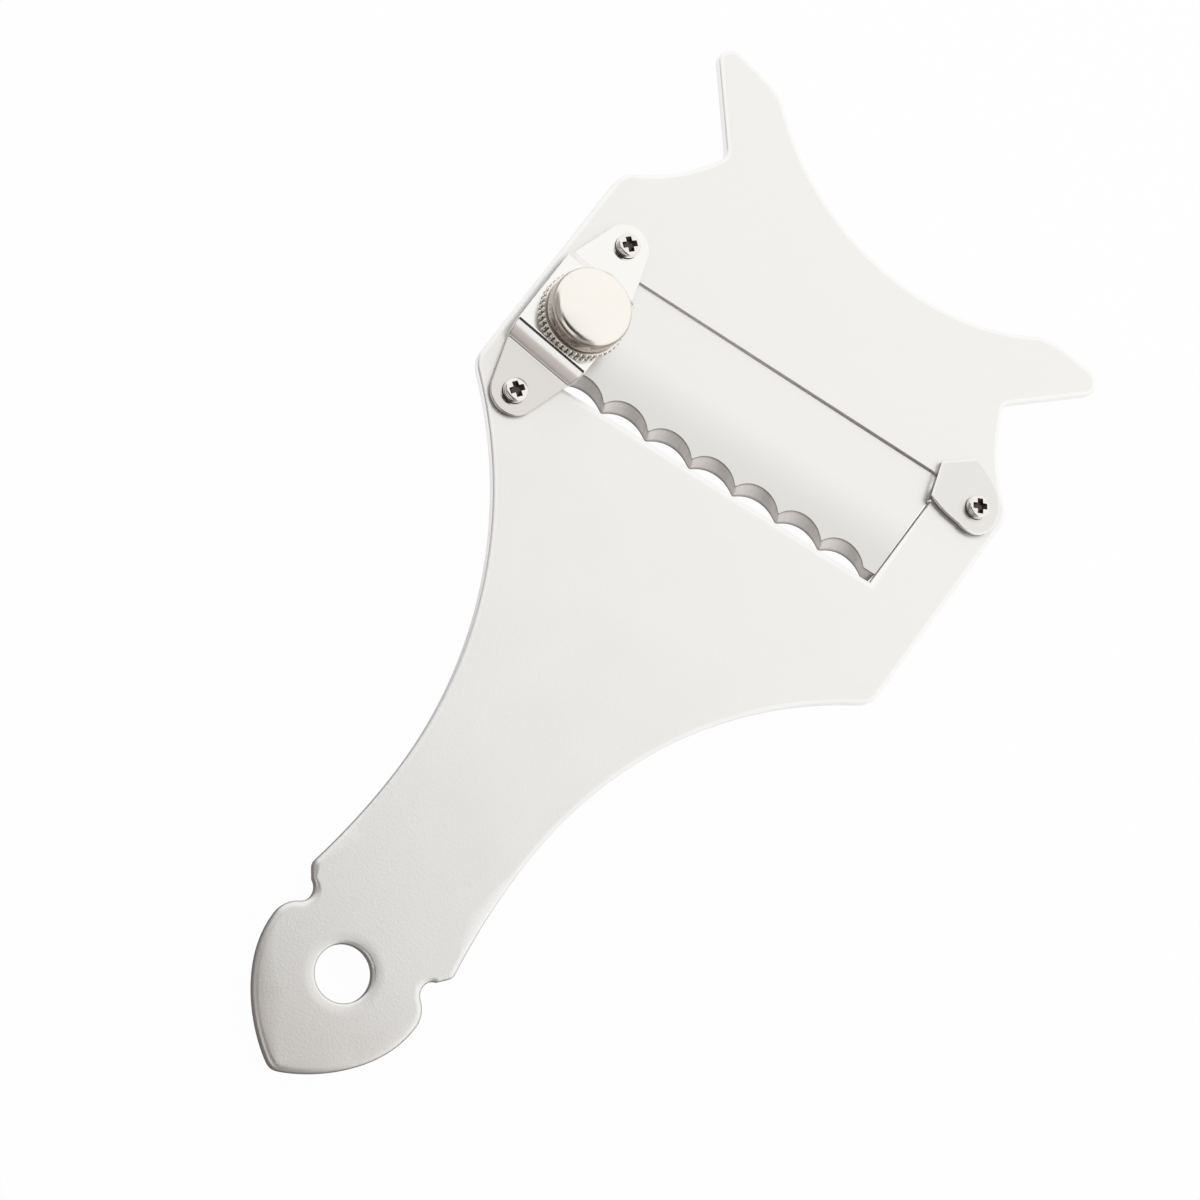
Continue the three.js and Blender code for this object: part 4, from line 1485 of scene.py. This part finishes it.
@dataclass
class Knob:
    """The domed knob with its knurled skirt, its threaded stem and the collar on the blade."""

    centre: Plan
    bottom: float = 5.7
    skirt_radius: float = 7.85
    skirt_height: float = 1.45
    skirt_foot: tuple[float, float] = (0.25, 0.2)
    skirt_edge: float = 0.12
    groove: Sequence[tuple[float, float]] = ((0.2, 0.0), (0.22, 0.2), (0.05, 0.36), (0.0, 0.5))
    groove_shade: float = 0.4
    tooth_shade: tuple[float, float] = (0.1, 0.15)
    teeth: int = 48
    tooth: tuple[float, float, float] = (0.85, 0.82, 1.38)
    tooth_sink: float = 0.06
    cap_radius: float = 7.5
    cap_height: float = 4.4
    cap_round: float = 1.6
    side_share: float = 0.45
    crown: float = 0.5207
    stem_radius: float = 2.0
    stem_bottom: float = 0.15
    stem_top: float = 8.5
    bore_gap: tuple[float, float] = (0.1, 0.2)
    pitch: float = 0.7
    thread_depth: float = 0.36
    collar_radius: float = 3.4
    collar_bottom: float = 1.3
    collar_height: float = 2.6
    collar_edge: float = 0.3
    collar_bevel: float = 0.25

    def profile(self) -> Profile:
        """Side profile of the turned knob, from the top of its bore to its crown."""
        ledge = self.bottom + self.skirt_height
        rim = ledge + self.cap_height
        bore, bore_top = self.stem_radius + self.bore_gap[0], self.stem_top + self.bore_gap[1]
        skirt, cap, edge = self.skirt_radius, self.cap_radius, self.skirt_edge
        inset, height = self.skirt_foot
        return [
            (0.0, bore_top), (bore, bore_top), (bore, self.bottom),
            (skirt - inset, self.bottom), (skirt, self.bottom + height),
            (skirt, ledge - edge), (skirt - edge, ledge),
            *[(cap - depth, ledge + rise) for depth, rise in self.groove],
            (cap, rim - self.cap_round),
            *domed(cap, rim, self.cap_round, self.crown, (12, 14)),
        ]

    def shade(self, knob: bpy.types.Object) -> None:
        """Marks the faces of the knob that get painted shade: between its teeth, in its groove and on its
        side.
        """
        ledge = self.bottom + self.skirt_height
        top = ledge + self.groove_shade
        below, inset = self.tooth_shade
        groove, side = [], []
        for face in knob.data.polygons:
            reach, height = math.hypot(face.center.x, face.center.y) / MM, face.center.z / MM
            # painted shade between the teeth and in the groove
            between = self.bottom < height < ledge - below and reach > self.skirt_radius - inset
            groove.append(between or ledge < height < top and reach < self.cap_radius)
            # painted shade on the side under the cap's rounding
            wall = top <= height < ledge + self.cap_height - self.cap_round * self.side_share
            side.append(wall and reach > self.cap_radius - self.cap_round)
        mark_faces(knob.data, "groove", groove)
        mark_faces(knob.data, "side", side)

    def knurled(self) -> bpy.types.Object:
        """The turned knob with a ring of rounded teeth, set round it by Geometry Nodes."""
        knob = new_object("knob", lathe("knob", self.profile(), vec(0, 0), 128))
        self.shade(knob)
        tree = Tree("knurl_ring")
        count = tree.given("Teeth", "NodeSocketInt", self.teeth)
        radius = tree.given("Radius", "NodeSocketFloat", (self.skirt_radius - self.tooth_sink) * MM)
        size = tree.given("Tooth Size", "NodeSocketVector", tuple(x * MM for x in self.tooth))
        height = tree.given("Height", "NodeSocketFloat", (self.bottom + self.skirt_height / 2) * MM)
        ring = tree.node("GeometryNodeMeshCircle", {"Vertices": count, "Radius": radius}).outputs[0]
        cuts = {"Vertices X": 2, "Vertices Y": 2, "Vertices Z": 4}
        block = tree.node("GeometryNodeMeshCube", {"Size": size, **cuts}).outputs[0]
        bead = tree.node("GeometryNodeSubdivisionSurface", {"Mesh": block, "Level": 1}).outputs[0]
        where = tree.node("GeometryNodeInputPosition").outputs[0]
        flat = tree.vector("MULTIPLY", {0: where, 1: (1.0, 1.0, 0.0)}).outputs[0]
        outward = tree.node(
            "FunctionNodeAlignRotationToVector", {"Vector": flat}, axis="X", pivot_axis="Z",
        ).outputs[0]
        places = {"Points": tree.lifted(ring, height), "Instance": bead, "Rotation": outward}
        teeth = tree.node("GeometryNodeInstanceOnPoints", places).outputs[0]
        smooth = tree.node("GeometryNodeSetShadeSmooth", {"Geometry": teeth}).outputs[0]
        both = tree.node("GeometryNodeJoinGeometry")
        tree.link(tree.source.outputs["Geometry"], both.inputs[0])
        tree.link(smooth, both.inputs[0])
        # Painted shade on the knob's side, between its teeth and in its groove.
        tree.close(both.outputs[0], [(NICKEL, None), (SHADED_SIDE_NICKEL, "side"), (GROOVE_PAINTED_SHADE, "groove")])
        tree.run(knob)
        self.move(knob)
        return knob

    def move(self, obj: bpy.types.Object) -> None:
        """Shifts a mesh made at the origin onto the knob's axis."""
        obj.data.transform(Matrix.Translation((self.centre[0] * MM, self.centre[1] * MM, 0)))

    def stem(self) -> bpy.types.Object:
        """The threaded stem: a rod whose radius follows the thread's helix, by Geometry Nodes."""
        length = self.stem_top - self.stem_bottom
        stem = new_object("knob_stem", bpy.data.meshes.new("knob_stem"))
        tree = Tree("threaded_rod")
        pitch = tree.given("Pitch", "NodeSocketFloat", self.pitch * MM)
        depth = tree.given("Depth", "NodeSocketFloat", self.thread_depth * MM)
        radius = tree.given("Radius", "NodeSocketFloat", self.stem_radius * MM)
        height = tree.given("Length", "NodeSocketFloat", length * MM)
        cuts = {"Vertices": 48, "Side Segments": 110, "Fill Segments": 1}
        rod = tree.node("GeometryNodeMeshCylinder", {**cuts, "Radius": radius, "Depth": height})
        where = tree.node("GeometryNodeInputPosition").outputs[0]
        x, y, z = tree.node("ShaderNodeSeparateXYZ", {0: where}).outputs
        turn = tree.math("DIVIDE", tree.math("ARCTAN2", y, x), 2 * math.pi)
        phase = tree.math("SUBTRACT", tree.math("DIVIDE", z, pitch), turn)
        ridge = tree.math("MULTIPLY", tree.math("PINGPONG", phase, 0.5), 2.0)
        cut = tree.math("SUBTRACT", 1.0, tree.math("DIVIDE", tree.math("MULTIPLY", ridge, depth), radius))
        scale = tree.node("ShaderNodeCombineXYZ", {"X": cut, "Y": cut, "Z": 1.0}).outputs[0]
        moved = tree.vector("MULTIPLY", {0: where, 1: scale}).outputs[0]
        shaped = tree.node("GeometryNodeSetPosition", {"Geometry": rod.outputs["Mesh"], "Position": moved})
        tree.close(tree.lifted(shaped.outputs[0], (self.stem_bottom + length / 2) * MM), [(POLISHED, None)])
        tree.run(stem)
        self.move(stem)
        return stem

    def collar(self) -> bpy.types.Object:
        """The tapped collar riveted on the blade."""
        low, high = self.collar_bottom, self.collar_bottom + self.collar_height
        r, bore, edge, bevel = self.collar_radius, STEM_HOLE, self.collar_edge, self.collar_bevel
        profile = [
            (bore, low), (r, low), (r, high - edge), (r - edge / 3, high - edge / 3), (r - edge, high),
            (bore + bevel, high), (bore, high - bevel), (bore, low),
        ]
        collar = new_object("blade_collar", lathe("blade_collar", profile, self.centre, 64))
        dress(collar, [POLISHED])
        return collar

    def build(self) -> None:
        """Builds and dresses the knob, its stem and the collar."""
        enrol(self.knurled(), Body.KNOB, ["adjusting_knob"])
        enrol(self.stem(), Body.KNOB, ["adjusting_screw"])
        enrol(self.collar(), Body.BLADE, ["blade_nut"])


@dataclass
class Screws:
    """The three cross-recess pan-head screws: place, height of the seat and turn of each."""

    seats: Sequence[tuple[Plan, float, float]]
    head_radius: float = 2.25
    head_height: float = 1.65
    head_round: float = 0.55
    head_foot: tuple[float, float, float] = (0.12, 0.2, 0.35)
    crown: float = 0.12
    shank_radius: float = 1.25
    shank_length: float = 2.9
    shank_bevel: float = 0.3
    recess_span: float = 3.3
    recess_arm: float = 1.2
    recess_depth: float = 0.9
    recess_taper: float = 0.5
    cutter_rise: float = 0.3
    cutter_spread: float = 1.06
    foot_shade: tuple[float, float] = (0.2, 0.45)
    recess_shade: tuple[float, float] = (1.02, 0.2)

    def blank(self) -> bpy.types.Object:
        """A screw without its recess, seated at height zero."""
        head, shank, end, bevel = self.head_radius, self.shank_radius, -self.shank_length, self.shank_bevel
        inset, low, high = self.head_foot
        rim = self.head_height - self.crown
        profile = [
            (0.0, end), (shank - bevel, end), (shank, end + bevel), (shank, 0.0),
            (head - inset, 0.0), (head - inset, low), (head, high), (head, rim - self.head_round),
            *domed(head, rim, self.head_round, self.crown, (8, 5)),
        ]
        return new_object("screw_blank", lathe("screw_blank", profile, vec(0, 0), 64))

    def cutter(self) -> bpy.types.Object:
        """The tapered cross that is cut out of the head."""
        top, floor = self.head_height + self.cutter_rise, self.head_height - self.recess_depth
        points = []
        for z, share in ((floor, self.recess_taper), (top, self.cutter_spread)):
            long, slim = self.recess_span / 2 * share, self.recess_arm / 2 * (0.5 + 0.5 * share)
            corners = np.array([(long, -slim), (long, slim), (slim, slim)])
            for quarter in range(4):
                places = corners @ np.round(turned(quarter * math.pi / 2)).T
                points += [(x, y, z) for x, y in places]
        n = len(points) // 2
        faces = [tuple(range(n))[::-1], tuple(range(n, 2 * n))]
        faces += [(i, (i + 1) % n, n + (i + 1) % n, n + i) for i in range(n)]
        return new_object("screw_cutter", mesh_from("screw_cutter", np.array(points), faces))

    def template(self) -> bpy.types.Object:
        """One finished screw, with the faces of its recess and the foot of its head marked for painted shade.
        """
        blank, cutter = self.blank(), self.cutter()
        cut = blank.modifiers.new("recess", "BOOLEAN")
        cut.operation = "DIFFERENCE"
        cut.solver = "EXACT"
        cut.object = cutter
        settle(blank)
        bpy.data.objects.remove(cutter)
        crease(blank.data, CREASE_DEGREES)
        inset, low = self.foot_shade
        spread, below = self.recess_shade
        dark = []
        for face in blank.data.polygons:
            reach, height = math.hypot(face.center.x, face.center.y) / MM, face.center.z / MM
            # painted shade in the recess and painted contact shadow at the head's foot
            cross = reach < self.recess_span / 2 * spread and 0 < height < self.head_height - below
            dark.append(cross or reach > self.head_radius - inset and height < low)
        mark_faces(blank.data, "recess", dark)
        return blank

    def build(self) -> bpy.types.Object:
        """Sets the screw at its three places by Geometry Nodes and dresses it.

        Returns:
            The finished piece.
        """
        template = self.template()
        places = np.array([(*place, seat) for place, seat, _ in self.seats])
        screws = new_object("screws", mesh_from("screws", places, []))
        mark_points(screws.data, "turn", [angle for _, _, angle in self.seats])
        tree = Tree("screw_places")
        pattern = tree.given("Screw", "NodeSocketObject", template)
        screw = tree.node("GeometryNodeObjectInfo", {"Object": pattern}).outputs["Geometry"]
        angle = tree.node("GeometryNodeInputNamedAttribute", {"Name": "turn"}, data_type="FLOAT")
        spin = tree.node("ShaderNodeCombineXYZ", {"Z": angle.outputs["Attribute"]}).outputs[0]
        points = {"Points": tree.source.outputs["Geometry"], "Instance": screw, "Rotation": spin}
        placed = tree.node("GeometryNodeInstanceOnPoints", points).outputs[0]
        tree.close(placed, [(SCREW_NICKEL, None), (RECESS_PAINTED_SHADE, "recess")])
        tree.run(screws)
        bpy.data.objects.remove(template)
        enrol(screws, Body.ROOT, ["bridge_screw_lower", "bridge_screw_upper", "blade_screw"])
        return screws


# Studio


@dataclass
class Studio:
    """White light tent, a white floor, dark cards by the camera, flags round the part, and the camera."""

    camera_at: tuple[float, float, float] = (-72.02, -198.73, 447.75)
    camera_turn: tuple[float, float, float] = (13.8307, -21.1062, 36.521)
    lens: float = 84.0
    sensor: float = 36.0
    clip: tuple[float, float] = (0.01, 50.0)
    floor_depth: float = 2.7
    floor_size: float = 6.0
    floor_grey: float = 0.9
    floor_shade: tuple[float, float, float, float] = (-0.085, 0.015, 0.12, 1.0)
    camera_white: float = 0.98
    mirror_white: float = 0.85
    tent: Colour = (1.0, 0.995, 0.985)
    card_colour: Colour = (0.03, 0.024, 0.02)
    card_radius: float = 0.235
    card_core: float = 0.78
    card_back: float = 0.04
    card_shift: tuple[float, float] = (0.092, 0.06)
    leaf_card_shift: tuple[float, float] = (0.2, -0.235)
    leaf_card_size: float = 0.69
    front_flag: Colour = (0.06, 0.047, 0.04)
    high_flag: Colour = (0.6, 0.56, 0.54)
    side_flag: Colour = (0.33, 0.312, 0.3)
    front_line: Sequence[tuple[float, float]] = ((-0.3, -0.36), (0.0, -0.45), (0.3, -0.4))
    side_line: Sequence[tuple[float, float]] = ((-0.42, 0.06), (-0.38, -0.12), (-0.3, -0.36))
    corner_line: Sequence[tuple[float, float]] = ((0.07, -0.437), (0.3, -0.39), (0.42, -0.25))
    flag_heights: tuple[float, float, float, float] = (0.0, 0.15, 0.33, 0.7)

    def camera(self) -> bpy.types.Object:
        """Sets the camera at the photograph's viewing angle.

        Returns:
            The camera.
        """
        data = bpy.data.cameras.new("camera")
        data.lens, data.sensor_width = self.lens, self.sensor
        data.clip_start, data.clip_end = self.clip
        camera = bpy.data.objects.new("camera", data)
        camera.location = [x * MM for x in self.camera_at]
        camera.rotation_euler = [math.radians(a) for a in self.camera_turn]
        bpy.context.scene.collection.objects.link(camera)
        bpy.context.scene.camera = camera
        return camera

    @staticmethod
    def glowing(name: str, colour: Colour) -> tuple[bpy.types.Material, Nodes, bpy.types.Node]:
        """Starts a stage material that glows evenly.

        Args:
            name: Name of the material.
            colour: Its colour.

        Returns:
            The material, its nodes and the glowing one of them, which is linked to the output.
        """
        made = bpy.data.materials.new(name)
        made.use_nodes = True
        nodes = Nodes(made.node_tree)
        made.node_tree.nodes.remove(made.node_tree.nodes["Principled BSDF"])
        glow = nodes.node("ShaderNodeEmission", {"Color": (*colour, 1), "Strength": 1.0})
        nodes.link(glow.outputs[0], made.node_tree.nodes["Material Output"].inputs["Surface"])
        return made, nodes, glow

    @staticmethod
    def blended(
        nodes: Nodes, share: bpy.types.NodeSocket, first: bpy.types.Node, second: bpy.types.Node,
    ) -> None:
        """Gives a material a mix of two shaders as its surface."""
        mix = nodes.node("ShaderNodeMixShader", {0: share, 1: first.outputs[0], 2: second.outputs[0]})
        nodes.link(mix.outputs[0], nodes.group.nodes["Material Output"].inputs["Surface"])

    def floor(self) -> None:
        """Lays a pale floor that shows white to the camera and to the metal, and keeps a soft shadow."""
        half, z = self.floor_size / 2, -self.floor_depth * MM
        corners = [(-half, -half, z), (half, -half, z), (half, half, z), (-half, half, z)]
        mesh = bpy.data.meshes.new("floor")
        mesh.from_pydata(corners, [], [(0, 1, 2, 3)])
        material, nodes, glow = self.glowing("white_floor", (1, 1, 1))
        path = nodes.node("ShaderNodeLightPath").outputs
        along = nodes.node("ShaderNodeSeparateXYZ", {0: nodes.place()}).outputs["Y"]
        shade = nodes.ranged(along, self.floor_shade, smooth=True)
        nodes.link(nodes.math("MAXIMUM", shade, path["Is Camera Ray"]), glow.inputs["Strength"])
        grey = self.floor_grey
        cloth = nodes.node("ShaderNodeBsdfDiffuse", {"Color": (grey, grey, grey, 1)})
        share = nodes.math("MULTIPLY", path["Is Camera Ray"], self.camera_white)
        for name in ("Is Glossy Ray", "Is Transmission Ray"):
            share = nodes.math("MAXIMUM", share, nodes.math("MULTIPLY", path[name], self.mirror_white))
        self.blended(nodes, share, cloth, glow)
        mesh.materials.append(material)
        new_object("floor", mesh)

    def card(self) -> bpy.types.Mesh:
        """A round dark card whose edge fades out."""
        angles = np.linspace(0, 2 * math.pi, 64, endpoint=False)
        radius = self.card_radius
        ring = [(radius * math.cos(a), radius * math.sin(a), self.card_back) for a in angles]
        mesh = bpy.data.meshes.new("camera_card")
        mesh.from_pydata(ring, [], [tuple(range(len(ring)))])
        material, nodes, glow = self.glowing("dark_card", self.card_colour)
        reach = nodes.vector("LENGTH", {0: nodes.place()}).outputs["Value"]
        fade = nodes.ranged(reach, (radius * self.card_core, radius), smooth=True)
        self.blended(nodes, fade, glow, nodes.node("ShaderNodeBsdfTransparent"))
        mesh.materials.append(material)
        return mesh

    def cards(self, camera: bpy.types.Object) -> list[bpy.types.Object]:
        """Hangs one dark card by the camera and a smaller one for the leaf.

        Args:
            camera: The camera that the cards are placed from.

        Returns:
            The cards.
        """
        bpy.context.view_layer.update()
        mesh, out = self.card(), []
        leaf = (self.leaf_card_shift, self.leaf_card_size)
        for name, (shift, size) in {"camera_card": (self.card_shift, 1.0), "leaf_card": leaf}.items():
            card = new_object(name, mesh)
            card.matrix_world = camera.matrix_world @ Matrix.Translation((*shift, 0)) @ Matrix.Scale(size, 4)
            out.append(card)
        return out

    def flags(self) -> list[bpy.types.Object]:
        """Stands a dark flag with a grey one above it in front, and a grey one at each side.

        Returns:
            The flags.
        """
        low, middle, high, side = self.flag_heights
        out = []
        for name, line, span, colour in (
            ("front_flag", self.front_line, (low, middle), self.front_flag),
            ("side_flag", self.side_line, (low, side), self.side_flag),
            ("high_flag", self.front_line, (middle, high), self.high_flag),
            ("corner_flag", self.corner_line, (low, side), self.side_flag),
        ):
            count = len(line)
            mesh = bpy.data.meshes.new(name)
            faces = [(i, i + 1, count + i + 1, count + i) for i in range(count - 1)]
            mesh.from_pydata([(x, y, z) for z in span for x, y in line], [], faces)
            mesh.materials.append(self.glowing(name, colour)[0])
            out.append(new_object(name, mesh))
        return out

    def light(self) -> None:
        """Makes the tent's even light, white to the camera."""
        world = bpy.data.worlds.new("light_tent")
        bpy.context.scene.world = world
        world.use_nodes = True
        nodes = Nodes(world.node_tree)
        seen = nodes.node("ShaderNodeLightPath").outputs["Is Camera Ray"]
        background = world.node_tree.nodes["Background"].inputs
        nodes.link(nodes.mixed(seen, (*self.tent, 1), (1, 1, 1, 1)), background["Color"])
        background["Strength"].default_value = 1.0

    def build(self) -> None:
        """Sets up camera, floor, cards, flags and light."""
        bpy.context.scene.view_settings.view_transform = "Standard"
        camera = self.camera()
        self.floor()
        for item in (*self.cards(camera), *self.flags()):
            item.visible_camera = False
        self.light()


def main() -> None:
    """Builds the studio and every piece in order."""
    logging.basicConfig(level=logging.INFO, format="%(name)s: %(message)s")
    Studio().build()
    window = Window()
    stem, ear_screw = vec(-37.8, 36.4), vec(42.1, 62.1)
    bridge = Bridge(stem)
    blade = WavyBlade(window, stem, ear_screw)
    lower, upper = bridge.screws()
    BodyPlate(window, [lower, upper, ear_screw]).build()
    blade.build()
    bridge.build()
    Knob(stem).build()
    on_bridge, on_blade = PLATE_TOP + bridge.thickness, PLATE_TOP + blade.thickness
    seats = [(lower, on_bridge, 58), (upper, on_bridge, 51), (ear_screw, on_blade, 35)]
    Screws([(place, seat, math.radians(turn)) for place, seat, turn in seats]).build()


if __name__ == "__main__":
    main()
